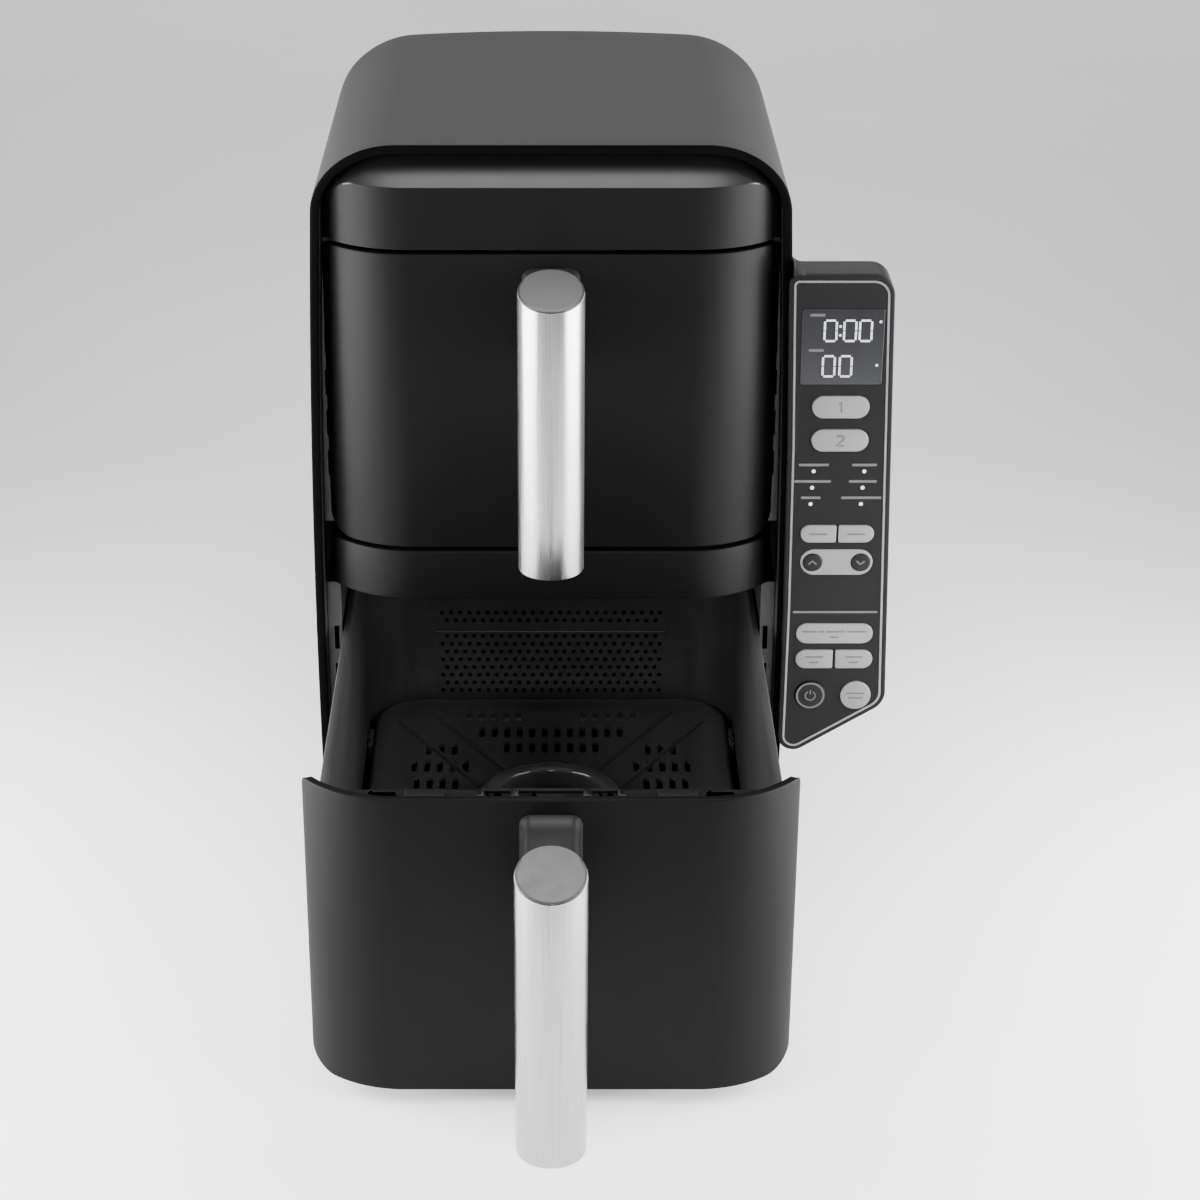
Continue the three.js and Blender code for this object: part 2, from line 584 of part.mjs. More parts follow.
// Rounds each corner of a convex outline whose corners are [u, v, radius]
function filleted(corners) {
  const points = [];
  corners.forEach(([u, v, radius], i) => {
    const before = corners[(i + corners.length - 1) % corners.length];
    const after = corners[(i + 1) % corners.length];
    const here = new THREE.Vector2(u, v);
    const back = new THREE.Vector2(before[0], before[1]).sub(here).normalize();
    const ahead = new THREE.Vector2(after[0], after[1]).sub(here).normalize();
    const half = Math.acos(back.dot(ahead)) / 2;
    if (half > 1.5) {
      points.push([u, v]);
      return;
    }
    const centre = back.clone().add(ahead).normalize().multiplyScalar(radius / Math.sin(half)).add(here);
    const run = radius / Math.tan(half);
    const from = here.clone().addScaledVector(back, run).sub(centre).angle();
    const to = here.clone().addScaledVector(ahead, run).sub(centre).angle();
    const sweep = ((to - from) + 3 * Math.PI) % (2 * Math.PI) - Math.PI;
    points.push(...arc(centre.x, centre.y, radius, radius, from, from + sweep, 5));
  });
  return points;
}

// Moves every edge of a convex anticlockwise outline inwards
function inset(corners, distance) {
  return corners.map(([u, v, radius], i) => {
    const before = corners[(i + corners.length - 1) % corners.length];
    const after = corners[(i + 1) % corners.length];
    const a = new THREE.Vector2(u - before[0], v - before[1]).normalize();
    const b = new THREE.Vector2(after[0] - u, after[1] - v).normalize();
    const turn = a.cross(b);
    const slide = Math.abs(turn) < 1e-6 ? 0 : distance * (1 - a.dot(b)) / turn;
    const x = u - a.y * distance + a.x * -slide;
    const y = v + a.x * distance + a.y * -slide;
    return [x, y, Math.max(radius - distance, 0.6)];
  });
}

// The pod's front outline, anticlockwise from its lower left corner, drawn inwards by a distance.
// leftShift moves the left edge away from the shell's side line.
function podOutline(distance, leftShift) {
  const left = (z) => sideX(z) + leftShift;
  const corners = [
    [left(POD_BOTTOM_Z), POD_BOTTOM_Z, 8],
    [HALF + POD_LOW_REACH, POD_BOTTOM_Z + POD_SLOPE_RISE, 11],
    [HALF + POD_TOP_REACH, POD_TOP_Z, 10],
    [left(POD_TOP_Z), POD_TOP_Z, 5],
    [left(POD_TOP_Z - POD_HEIGHT / 3), POD_TOP_Z - POD_HEIGHT / 3, 0],
    [left(POD_TOP_Z - POD_HEIGHT * 2 / 3), POD_TOP_Z - POD_HEIGHT * 2 / 3, 0],
  ];
  return filleted(inset(corners, distance));
}

function podHousing() {
  const rear = POD_FRONT_Y + POD_DEPTH;
  const front = FACE_REAR_Y + GAP;
  const body = alongY(podOutline(0, GAP), front, rear);
  const hollow = alongY(podOutline(POD_WALL, GAP), front - 1, rear - POD_WALL);
  const wireSlot = block(HALF - 15, HALF + 5, WIRE_SLOT_Y, WIRE_SLOT_Y + 6, POD_TOP_Z - 140, POD_TOP_Z - 120);
  return body.subtract(hollow).subtract(wireSlot);
}

function keyOutline([, across, drop, width, height, left, right], grow) {
  const z = POD_TOP_Z - drop;
  const x = panelCentre(z) + across;
  const w = width / 2 + grow;
  const h = height / 2 + grow;
  return rounded(x - w, x + w, z - h, z + h, left + grow, right + grow, 3);
}

function boxOnPanel({ drop, width, height }, corner, grow) {
  const z = POD_TOP_Z - drop;
  const x = panelCentre(z);
  const w = width / 2 + grow;
  const h = height / 2 + grow;
  return rounded(x - w, x + w, z - h, z + h, corner + grow);
}

function trimGroove(grow, y0, y1) {
  const outside = podOutline(TRIM_INSET - grow, -FACE_OVERLAP);
  const inside = podOutline(TRIM_INSET + TRIM_WIDTH + grow, -FACE_OVERLAP);
  return alongY(outside, y0, y1).subtract(alongY(inside, y0 - 1, y1 + 1));
}

function panelFace() {
  const plate = alongY(podOutline(0, -FACE_OVERLAP), POD_FRONT_Y, FACE_REAR_Y);
  const front = POD_FRONT_Y - 1;
  const cuts = KEYS.map((key) => alongY(keyOutline(key, GAP), front, FACE_REAR_Y + 1));
  cuts.push(alongY(boxOnPanel(DISPLAY, DISPLAY.corner, GAP), front, POD_FRONT_Y + WINDOW_DEPTH));
  cuts.push(alongY(boxOnPanel(ARROW_BEZEL, ARROW_BEZEL.height / 2 - 0.1, GAP), front, POD_FRONT_Y + WINDOW_DEPTH));
  cuts.push(trimGroove(GAP, front, POD_FRONT_Y + GROOVE_DEPTH));
  return plate.subtract(joined(cuts));
}

function panelTrim() {
  return trimGroove(0, POD_FRONT_Y - 0.2, POD_FRONT_Y + GROOVE_DEPTH - GAP);
}

function displayWindow() {
  return alongY(boxOnPanel(DISPLAY, DISPLAY.corner, 0), POD_FRONT_Y - 0.1, POD_FRONT_Y + WINDOW_DEPTH - GAP);
}

function arrowBezel() {
  const body = alongY(boxOnPanel(ARROW_BEZEL, ARROW_BEZEL.height / 2 - 0.1, 0),
    POD_FRONT_Y - 0.4, POD_FRONT_Y + WINDOW_DEPTH - GAP);
  const holes = KEYS.filter(([, , drop]) => drop === ARROW_BEZEL.drop)
    .map((key) => alongY(keyOutline(key, GAP), POD_FRONT_Y - 2, POD_FRONT_Y + 5));
  return body.subtract(joined(holes));
}

// A keycap with a lip behind the face plate that stops it from falling out
function keycap(key) {
  const cap = alongY(keyOutline(key, 0), POD_FRONT_Y - KEY_PROUD, FACE_REAR_Y + GAP + KEY_FLANGE);
  const [, across, drop, width, height] = key;
  const z = POD_TOP_Z - drop;
  const x = panelCentre(z) + across;
  const lipHalf = height / 2 + KEY_FLANGE_LIP;
  const lip = block(x - width / 4, x + width / 4, FACE_REAR_Y + GAP, FACE_REAR_Y + GAP + KEY_FLANGE,
    z - lipHalf, z + lipHalf);
  return cap.add(lip);
}

function circuitBoard() {
  const y = POD_FRONT_Y + BOARD_BACK;
  const zTop = POD_TOP_Z - 12;
  const zLow = POD_BOTTOM_Z + 36;
  const x = panelCentre((zTop + zLow) / 2);
  return block(x - BOARD_WIDTH / 2, x + BOARD_WIDTH / 2, y, y + BOARD_THICKNESS, zLow, zTop);
}

// ---- Drawer, modelled closed in the lower bay ---------------------------------------------
function frontPanel() {
  const plan = [...frontCurve(0, FRONT_RETURN_Y), ...frontCurve(PANEL_THICKNESS, FRONT_RETURN_Y).reverse()];
  const face = rounded(-FRONT_HALF, FRONT_HALF, FRONT_BOTTOM_Z, FRONT_TOP_Z, PANEL_TOP_RADIUS, PANEL_TOP_RADIUS, 2);
  const footShape = rounded(-FRONT_HALF, FRONT_HALF, FRONT_BOTTOM_Z, FRONT_TOP_Z + 60, PANEL_FOOT_RADIUS);
  return alongZ(plan, FRONT_BOTTOM_Z, FRONT_TOP_Z)
    .intersect(alongY(face, -30, 30))
    .intersect(alongY(footShape, -30, 30));
}

// Slots in the ledge behind the panel's top edge: middle across and width
const LEDGE_SLOTS = [[9.5, 7], [24, 7], [73, 12]];

function frontBacking() {
  const top = FRONT_TOP_Z - BACKING_DROP;
  const low = FRONT_BOTTOM_Z + 12;
  const block3 = alongZ(frontCurve(PANEL_THICKNESS + GAP, BACKING_REAR_Y), low, top);
  const slots = [];
  for (const [x, width] of LEDGE_SLOTS) {
    const y = x > 60 ? 0.5 : -2.5;
    slots.push(block(x - width / 2, x + width / 2, y - 2, y + 2, top - 6, top + 1));
    slots.push(block(-x - width / 2, -x + width / 2, y - 2, y + 2, top - 6, top + 1));
  }
  const core = block(-60, 60, -2, BACKING_REAR_Y + 1, low + 8, top - 14);
  return block3.subtract(joined(slots)).subtract(core);
}

function ring(half, y0, y1, radius, z) {
  return rounded(-half, half, y0, y1, radius, radius, 5).map(([x, y]) => [x, y, z]);
}

function basket() {
  const w = BASKET_WALL;
  const t = BASKET_TAPER;
  const lip = 2;
  const front = BASKET_FRONT_Y;
  const rear = BASKET_REAR_Y;
  const body = loft([
    ring(BASKET_HALF + w - t - 4, front - w + t + 4, rear + w - t - 4, BASKET_CORNER - 4, BASKET_UNDER_Z),
    ring(BASKET_HALF + w - t, front - w + t, rear + w - t, BASKET_CORNER + w, BASKET_UNDER_Z + 4),
    ring(BASKET_HALF + w, front - w, rear + w, BASKET_CORNER + w, BASKET_RIM_Z - lip),
    ring(BASKET_FLANGE_HALF, BACKING_REAR_Y + GAP, BASKET_END_Y, BASKET_FLANGE_CORNER, BASKET_RIM_Z - lip + 0.5),
    ring(BASKET_FLANGE_HALF, BACKING_REAR_Y + GAP, BASKET_END_Y, BASKET_FLANGE_CORNER, BASKET_RIM_Z),
    ring(BASKET_HALF, front, rear, BASKET_CORNER, BASKET_RIM_Z),
    ring(BASKET_HALF - t, front + t, rear - t, BASKET_CORNER, BASKET_FLOOR_Z + 4),
    ring(BASKET_HALF - t - 4, front + t + 4, rear - t - 4, BASKET_CORNER - 4, BASKET_FLOOR_Z),
  ]);
  const vents = [];
  for (let row = 0; row < VENT_ROWS; row += 1) {
    for (let column = 0; column < VENT_COLUMNS; column += 1) {
      const x = (column - (VENT_COLUMNS - 1) / 2) * VENT_PITCH_X;
      const z = VENT_LOW_Z + row * VENT_PITCH_Z;
      const h = VENT_SIZE / 2;
      vents.push(block(x - h, x + h, rear - 10, rear + 10, z - h, z + h));
    }
  }
  return body.subtract(joined(vents));
}

// Rows of the plate's slots: distance behind the plate's centre, first slot, number of slots
const SLOT_ROWS = [
  [132, -47, 4], [132, 18.8, 4], [114, -42.3, 10], [96.5, -23.5, 6],
  [94, -65.8, 2], [75, -70.5, 3], [56, -70.5, 3],
  [94, 56.4, 2], [75, 51.7, 3], [56, 51.7, 3],
  [-56, -70.5, 3], [-56, 51.7, 3], [-75, -70.5, 3], [-75, 51.7, 3],
  [-96.5, -23.5, 6], [-114, -42.3, 10],
];

function crisperPlate() {
  const half = BASKET_HALF - BASKET_TAPER - PLATE_MARGIN;
  const front = BASKET_FRONT_Y + BASKET_TAPER + PLATE_MARGIN;
  const rear = BASKET_REAR_Y - BASKET_TAPER - PLATE_MARGIN;
  const radius = BASKET_CORNER - PLATE_MARGIN;
  const centreY = (front + rear) / 2;
  const w = PLATE_SKIRT_WALL;
  const plan = (inset) => rounded(-half + inset, half - inset, front + inset, rear - inset, radius - inset);
  const skirt = alongZ(plan(0), PLATE_Z - PLATE_SKIRT, PLATE_TOP_Z);
  const under = alongZ(plan(w), PLATE_Z - PLATE_SKIRT - 1, PLATE_Z);
  const legs = [];
  for (const x of [-half + PLATE_LEG_INSET, half - PLATE_LEG_INSET]) {
    for (const y of [front + PLATE_LEG_INSET, rear - PLATE_LEG_INSET]) {
      const h = PLATE_LEG / 2;
      legs.push(block(x - h, x + h, y - h, y + h, BASKET_FLOOR_Z + GAP, PLATE_Z + 1));
    }
  }
  const ringY = centreY + RING_BACK;
  const top = PLATE_TOP_Z + RING_HEIGHT;
  const profile = [
    [RING_INNER, PLATE_Z + 0.5], [RING_OUTER, PLATE_Z + 0.5], [RING_OUTER, top - 3],
    [RING_OUTER - 2.5, top], [RING_INNER + 2.5, top], [RING_INNER, top - 3], [RING_INNER, PLATE_Z + 0.5],
  ];
  const turned = new THREE.LatheGeometry(profile.map(([r, z]) => new THREE.Vector2(r, z)), 24);
  const raised = solid(turned.rotateX(Math.PI / 2).translate(0, ringY, 0));
  const cuts = [alongZ(circle(0, ringY, RING_HOLE, 16), PLATE_Z - 20, top + 5)];
  for (const [back, firstX, count] of SLOT_ROWS) {
    for (let i = 0; i < count; i += 1) {
      const x = firstX + i * SLOT_PITCH;
      const y = centreY + back;
      cuts.push(block(x - SLOT_WIDTH / 2, x + SLOT_WIDTH / 2, y - SLOT_LENGTH / 2, y + SLOT_LENGTH / 2,
        PLATE_Z - 1, PLATE_TOP_Z + 1));
    }
  }
  return skirt.subtract(under).add(joined(legs)).add(raised).subtract(joined(cuts));
}

// Soft block that centres the plate between the basket's side walls
function bumper(side, end) {
  const wall = BASKET_HALF - BASKET_TAPER;
  const inner = wall - PLATE_MARGIN + GAP;
  const outer = wall - GAP;
  const front = BASKET_FRONT_Y + BUMPER_INSET;
  const rear = BASKET_REAR_Y - BUMPER_INSET;
  const y = end < 0 ? front : rear;
  const x0 = side < 0 ? -outer : inner;
  const x1 = side < 0 ? -inner : outer;
  return block(x0, x1, y - BUMPER_LENGTH / 2, y + BUMPER_LENGTH / 2, PLATE_TOP_Z - BUMPER_HEIGHT, PLATE_TOP_Z);
}

const HANDLE_Y = -FRONT_BOW - HANDLE_REACH;
const HANDLE_LOW_Z = FRONT_BOTTOM_Z + HANDLE_BOTTOM_RISE;
const HANDLE_TOP_Z = FRONT_TOP_Z + HANDLE_TOP_RISE;

// Everything under the handle's slanted end, lowered by a drop
function underSlant(drop) {
  const reach = HANDLE_RADIUS + 2;
  const rise = reach * HANDLE_SLANT;
  const top = HANDLE_TOP_Z - drop;
  const side = [
    [HANDLE_Y - reach, 0], [HANDLE_Y + reach + 200, 0],
    [HANDLE_Y + reach + 200, top + rise + 200 * HANDLE_SLANT], [HANDLE_Y - reach, top - rise],
  ];
  return alongX(side, -HANDLE_RADIUS - 5, HANDLE_RADIUS + 5);
}

function handleSleeve() {
  const top = HANDLE_TOP_Z + 20;
  const tube = alongZ(circle(0, HANDLE_Y, HANDLE_RADIUS, 28), HANDLE_LOW_Z, top);
  const bore = alongZ(circle(0, HANDLE_Y, HANDLE_RADIUS - HANDLE_WALL, 28), HANDLE_LOW_Z - 1, top + 1);
  const armTop = FRONT_TOP_Z - ARM_DROP;
  const slot = block(-ARM_WIDTH / 2 - GAP, ARM_WIDTH / 2 + GAP, HANDLE_Y + 2, HANDLE_Y + 30,
    armTop - ARM_HEIGHT - GAP, armTop + GAP);
  return tube.intersect(underSlant(0)).subtract(bore).subtract(slot);
}

// Core of the handle, with the arm that carries it on the drawer front
function handleCore() {
  const radius = HANDLE_RADIUS - HANDLE_WALL - GAP;
  const armTop = FRONT_TOP_Z - ARM_DROP;
  const core = alongZ(circle(0, HANDLE_Y, radius, 20), HANDLE_LOW_Z + 1, HANDLE_TOP_Z + 20)
    .intersect(underSlant(CAP_THICKNESS + 2 * GAP));
  const arm = block(-ARM_WIDTH / 2, ARM_WIDTH / 2, HANDLE_Y + 4, -FRONT_BOW - GAP, armTop - ARM_HEIGHT, armTop);
  return core.add(arm);
}

function handleCap() {
  const radius = HANDLE_RADIUS - HANDLE_WALL - GAP;
  return alongZ(circle(0, HANDLE_Y, radius, 24), HANDLE_LOW_Z, HANDLE_TOP_Z + 20)
    .intersect(underSlant(GAP))
    .subtract(underSlant(CAP_THICKNESS + GAP));
}

// ---- Assembly -----------------------------------------------------------------------------
const FINISHES = {
  shell: { color: '#5c5c5e', roughness: 0.55, metalness: 0.0 },
  front: { color: '#1d1d1f', roughness: 0.42, metalness: 0.0 },
  trimSteel: { color: '#c9c9cb', roughness: 0.28, metalness: 1.0 },
  cap: { color: '#8c8c8e', roughness: 0.35, metalness: 1.0 },
  coated: { color: '#151515', roughness: 0.35, metalness: 0.1 },
  sheet: { color: '#2a2a2c', roughness: 0.45, metalness: 0.6 },
  silicone: { color: '#0f0f10', roughness: 0.8, metalness: 0.0 },
  glass: { color: '#3c3f44', roughness: 0.15, metalness: 0.0 },
  key: { color: '#a9a9ab', roughness: 0.5, metalness: 0.0 },
  heater: { color: '#6a6460', roughness: 0.5, metalness: 0.9 },
  board: { color: '#1d5a32', roughness: 0.6, metalness: 0.0 },
};

const part = new THREE.Group();

function place(parent, name, body, finish) {
  const mesh = new THREE.Mesh(geometryOf(body), new THREE.MeshStandardMaterial(FINISHES[finish]));
  mesh.name = name;
  parent.add(mesh);
}

function buildBody() {
  place(part, 'outer_shell', outerShell(), 'shell');
  place(part, 'base_tray', baseTray(), 'front');
  const footX = HALF - FOOT_INSET_X;
  const footRows = [['front', FOOT_INSET_Y], ['rear', BODY_DEPTH - FOOT_INSET_Y]];
  for (const [row, y] of footRows) {
    place(part, `foot_${row}_left`, foot(-footX, y), 'silicone');
    place(part, `foot_${row}_right`, foot(footX, y), 'silicone');
  }
  place(part, 'top_fascia', topFascia(), 'front');
  place(part, 'middle_fascia', middleFascia(), 'front');
  place(part, 'rear_cover', rearCover(), 'front');
  place(part, 'cord_gland', cordGland(), 'silicone');
  for (const [level, raise] of [['lower', 0], ['upper', DRAWER_PITCH]]) {
    place(part, `${level}_bay`, drawerBay(raise), 'sheet');
    place(part, `${level}_fan_guard`, fanGuard(raise), 'sheet');
    place(part, `${level}_heater`, heater(raise), 'heater');
    place(part, `${level}_fan`, fan(raise), 'sheet');
    place(part, `${level}_motor`, motor(raise), 'heater');
  }
}

function buildPod() {
  place(part, 'pod_housing', podHousing(), 'shell');
  place(part, 'panel_face', panelFace(), 'front');
  place(part, 'panel_trim', panelTrim(), 'trimSteel');
  place(part, 'display_window', displayWindow(), 'glass');
  place(part, 'arrow_bezel', arrowBezel(), 'key');
  place(part, 'circuit_board', circuitBoard(), 'board');
  for (const key of KEYS) {
    const dark = ['up_key', 'down_key', 'power_key'].includes(key[0]);
    place(part, key[0], keycap(key), dark ? 'front' : 'key');
  }
}

function buildDrawer(level, raise, pull) {
  const drawer = new THREE.Group();
  drawer.position.set(0, -pull, raise);
  place(drawer, `${level}_front_panel`, frontPanel(), 'front');
  place(drawer, `${level}_front_backing`, frontBacking(), 'front');
  place(drawer, `${level}_basket`, basket(), 'coated');
  place(drawer, `${level}_crisper_plate`, crisperPlate(), 'coated');
  for (const [corner, side, end] of [['front_left', -1, -1], ['front_right', 1, -1],
    ['rear_left', -1, 1], ['rear_right', 1, 1]]) {
    place(drawer, `${level}_bumper_${corner}`, bumper(side, end), 'silicone');
  }
  place(drawer, `${level}_handle_sleeve`, handleSleeve(), 'trimSteel');
  place(drawer, `${level}_handle_core`, handleCore(), 'front');
  place(drawer, `${level}_handle_cap`, handleCap(), 'cap');
  part.add(drawer);
}

buildBody();
buildPod();
buildDrawer('lower', 0, LOWER_DRAWER_PULL);
buildDrawer('upper', DRAWER_PITCH, 0);

const extent = new THREE.Box3().setFromObject(part, true);
part.position.set(-(extent.min.x + extent.max.x) / 2, -(extent.min.y + extent.max.y) / 2, -extent.min.z);

export default part;
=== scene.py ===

import math

import bmesh
import bpy
from bpy.props import FloatProperty, FloatVectorProperty, IntProperty, PointerProperty
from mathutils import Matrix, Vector


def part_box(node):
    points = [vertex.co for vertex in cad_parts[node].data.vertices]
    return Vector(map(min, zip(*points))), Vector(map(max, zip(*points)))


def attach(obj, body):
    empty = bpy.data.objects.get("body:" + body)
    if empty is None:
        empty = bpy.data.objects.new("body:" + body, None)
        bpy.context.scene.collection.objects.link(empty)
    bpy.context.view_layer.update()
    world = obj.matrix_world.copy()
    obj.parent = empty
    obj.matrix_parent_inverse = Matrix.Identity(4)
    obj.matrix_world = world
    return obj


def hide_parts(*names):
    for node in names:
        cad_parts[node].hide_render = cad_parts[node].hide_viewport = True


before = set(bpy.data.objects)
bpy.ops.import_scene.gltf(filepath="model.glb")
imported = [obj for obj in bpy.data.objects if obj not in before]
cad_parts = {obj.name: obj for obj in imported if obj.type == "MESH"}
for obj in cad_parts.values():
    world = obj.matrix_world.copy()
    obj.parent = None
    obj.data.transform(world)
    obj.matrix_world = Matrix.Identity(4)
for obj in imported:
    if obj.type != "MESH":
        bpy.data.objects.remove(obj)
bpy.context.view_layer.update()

bl_info = {
    "name": "Stacked air fryer",
    "version": (1, 0, 0),
    "blender": (4, 5, 0),
    "location": "View3D > Sidebar > Air fryer",
    "description": "Finished surfaces of an air fryer with two stacked drawers and a side control pod",
    "category": "Add Mesh",
}

# ---- Places, all read from the frame ----------------------------------------------------------
MM = 0.001
SHELL_LOW, SHELL_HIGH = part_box("outer_shell")
UPPER_LOW, UPPER_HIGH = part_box("upper_front_panel")
LOWER_LOW, LOWER_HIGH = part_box("lower_front_panel")
POD_LOW, POD_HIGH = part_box("pod_housing")
FACE_LOW, FACE_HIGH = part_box("panel_face")

# Pieces are drawn with X = 0 in the middle of the body, Y = 0 at the shell's front rim and the
# floor at Z = 0, and a drawer is drawn shut in the lower bay; these moves carry them into the frame
MIDDLE = Vector(((SHELL_LOW.x + SHELL_HIGH.x) / 2, SHELL_LOW.y, 0))
SHUT = UPPER_LOW.y
LEVELS = {
    "lower": MIDDLE + Vector((0, LOWER_LOW.y - SHUT, 0)),
    "upper": MIDDLE + Vector((0, 0, UPPER_LOW.z - LOWER_LOW.z)),
}
HALF = (SHELL_HIGH.x - SHELL_LOW.x) / 2
TOP = SHELL_HIGH.z
DEPTH = SHELL_HIGH.y - SHELL_LOW.y
SHELL_FOOT = SHELL_LOW.z
FRONT_HALF = (UPPER_HIGH.x - UPPER_LOW.x) / 2
FRONT_LOW = LOWER_LOW.z
FRONT_TOP = LOWER_HIGH.z
BOW = SHELL_LOW.y - UPPER_LOW.y
PITCH = UPPER_LOW.z - LOWER_LOW.z
QUARTER = math.pi / 2
UPWARD, FACING = (0, 0, 0), (-QUARTER, 0, 0)
KEYS = ("zone_1_key", "zone_2_key", "time_key", "heat_key", "up_key", "down_key", "dual_key",
        "copy_key", "hold_key", "power_key", "start_key")
DARK_KEYS = ("up_key", "down_key", "power_key")


def mm(*values):
    """Millimetres as metres."""
    return tuple(value * MM for value in values)


def local_box(node, move=MIDDLE):
    """The corners of a CAD node in the drawing's own coordinates."""
    low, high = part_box(node)
    return low - move, high - move


# ---- Sizes and colours that a user would change -----------------------------------------------
def length(name, description, default):
    return FloatProperty(name=name, description=description, default=default * MM, min=0,
                         unit="LENGTH", subtype="DISTANCE", precision=4)


def colour(name, description, default):
    return FloatVectorProperty(name=name, description=description, default=default, size=3,
                               min=0, max=1, subtype="COLOR")


class FRYER_PG_shell(bpy.types.PropertyGroup):
    wall: length("Wall", "Thickness of the outer shell", 4.5)
    widest: length("Widest height", "Height at which the sides are furthest apart", 130)
    taper: length("Taper", "Lean of each side between its widest height and the shoulder", 4.5)
    corner_run: length("Corner run", "Width of each elliptical top corner", 40)
    corner_drop: length("Corner drop", "Height of each elliptical top corner", 33)
    roll_run: length("Roll length", "Length over which the top rolls down to the rear", 160)
    roll_radius: length("Roll radius", "Radius at the start of the rear roll", 165)
    roll_angle: FloatProperty(name="Roll angle", description="Slope of the rear roll",
                              default=math.radians(25), subtype="ANGLE")
    rear_corner: length("Rear corner", "Radius between the roll and the rear wall", 50)
    crown: length("Crown", "Lift of the top towards its middle and rear", 3.6)
    rim_round: length("Rim round", "Rounding of the front rim's two edges", 1.1)


class FRYER_PG_fronts(bpy.types.PropertyGroup):
    corner_radius: length("Corner radius", "Plan radius of the fronts' round ends", 53)
    corner_reach: length("Corner reach", "Width taken by each round end", 42.3)
    return_y: length("Return", "Where the side edges of a drawer front end", 12)
    thickness: length("Panel thickness", "Wall of a drawer front", 4)
    foot_radius: length("Foot radius", "Lower corners of a drawer front", 11)
    edge_round: length("Edge round", "Rounding along the edges of a front", 0.9)
    brow_drop: length("Brow drop", "Height of the sloping brow above the top fascia", 12)
    brow_corner: length("Brow corner", "Corner radius of the brow's lower edge", 9)


class FRYER_PG_handle(bpy.types.PropertyGroup):
    wall: length("Sleeve wall", "Thickness of the metal sleeve", 1.2)
    slant: FloatProperty(name="Slant", description="Slope of the upper end",
                         default=math.radians(18.5), subtype="ANGLE")
    cap_margin: length("Cap margin", "Sleeve left uncovered round the cap", 0.35)
    cap_gap: length("Cap gap", "Groove between the sleeve and the cap", 0.3)
    arm_round: length("Arm round", "Rounding of the arm's edges", 4)


class FRYER_PG_basket(bpy.types.PropertyGroup):
    wall: length("Wall", "Thickness of the basket's sheet", 1.5)
    flange: length("Flange", "Width of the rim's flange", 2)
    corner: length("Corner radius", "Upright corners of the basket", 30)
    flange_corner: length("Flange corner", "Corner radius of the flange", 10)
    taper: length("Taper", "Lean of each wall", 1.5)
    bottom_round: length("Bottom round", "Rounding between the walls and the floor", 9)
    vent: length("Vent", "Diameter of a vent hole in the rear wall", 2.5)
    vent_pitch: length("Vent pitch", "Distance between vent holes", 5.0)


class FRYER_PG_plate(bpy.types.PropertyGroup):
    skirt: length("Skirt", "Depth of the plate's skirt", 10.5)
    skirt_wall: length("Skirt wall", "Thickness of the skirt", 2)
    sheet: length("Sheet", "Thickness of the plate", 2.5)
    edge_round: length("Edge round", "Rounding between the plate and its skirt", 3)
    slot_width: length("Slot width", "Width of one slot", 3.2)
    slot_length: length("Slot length", "Length of one slot", 12)
    slot_pitch: length("Slot pitch", "Distance between slots in a row", 6.8)
    ring_inner: length("Ring inner radius", "Inner radius of the raised ring", 28)
    ring_outer: length("Ring outer radius", "Outer radius of the raised ring", 37.5)
    ring_back: length("Ring offset", "Ring centre behind the plate's centre", 12)
    ring_hole: length("Ring hole", "Radius of the hole in the middle", 12)
    rib: length("Rib", "Radius of the raised diagonal ribs", 2.6)


class FRYER_PG_pod(bpy.types.PropertyGroup):
    slope_rise: length("Slope rise", "Height of the sloping lower edge", 33)
    wide_corner: length("Upper corner", "Radius of the upper outer corner", 10)
    low_corner: length("Lower corner", "Radius of the corner above the slope", 11)
    blend: length("Blend", "Hollow fillet where the pod meets the shell", 6)
    trim_inset: length("Trim inset", "Silver line in from the edge", 2.4)
    trim_width: length("Trim width", "Width of the silver line", 1)
    edge_round: length("Edge round", "Rounding of the housing's edges", 2.2)
    panel_tilt: length("Panel lean", "Shift of the keys' middle line from top to bottom", 4.9)
    lamps: IntProperty(name="Lamps", description="Indicator lamps in each column", default=3, min=1)


class FRYER_PG_finish(bpy.types.PropertyGroup):
    shell: colour("Shell", "Matte grey of the shell", (0.034, 0.034, 0.0351))
    rim: colour("Rim", "Black of the shell's front rim", (0.001, 0.001, 0.001))
    front: colour("Fronts", "Satin black of the fronts", (0.0016, 0.0016, 0.0019))
    panel: colour("Panel", "Dark grey of the control panel", (0.0068, 0.0068, 0.0071))
    steel: colour("Steel", "Brushed steel of the handles", (0.40, 0.40, 0.407))
    cap: colour("Cap", "Satin grey of the handles' caps", (0.095, 0.095, 0.098))
    key: colour("Keys", "Light grey of the keys", (0.132, 0.132, 0.136))
    coating: colour("Coating", "Non-stick coating", (0.033, 0.033, 0.0338))
    glow: colour("Glow", "Lit segments and lamps", (0.86, 0.88, 0.95))


class FRYER_PG_settings(bpy.types.PropertyGroup):
    shell: PointerProperty(type=FRYER_PG_shell)
    fronts: PointerProperty(type=FRYER_PG_fronts)
    handle: PointerProperty(type=FRYER_PG_handle)
    basket: PointerProperty(type=FRYER_PG_basket)
    plate: PointerProperty(type=FRYER_PG_plate)
    pod: PointerProperty(type=FRYER_PG_pod)
    finish: PointerProperty(type=FRYER_PG_finish)


def settings():
    return bpy.context.scene.air_fryer


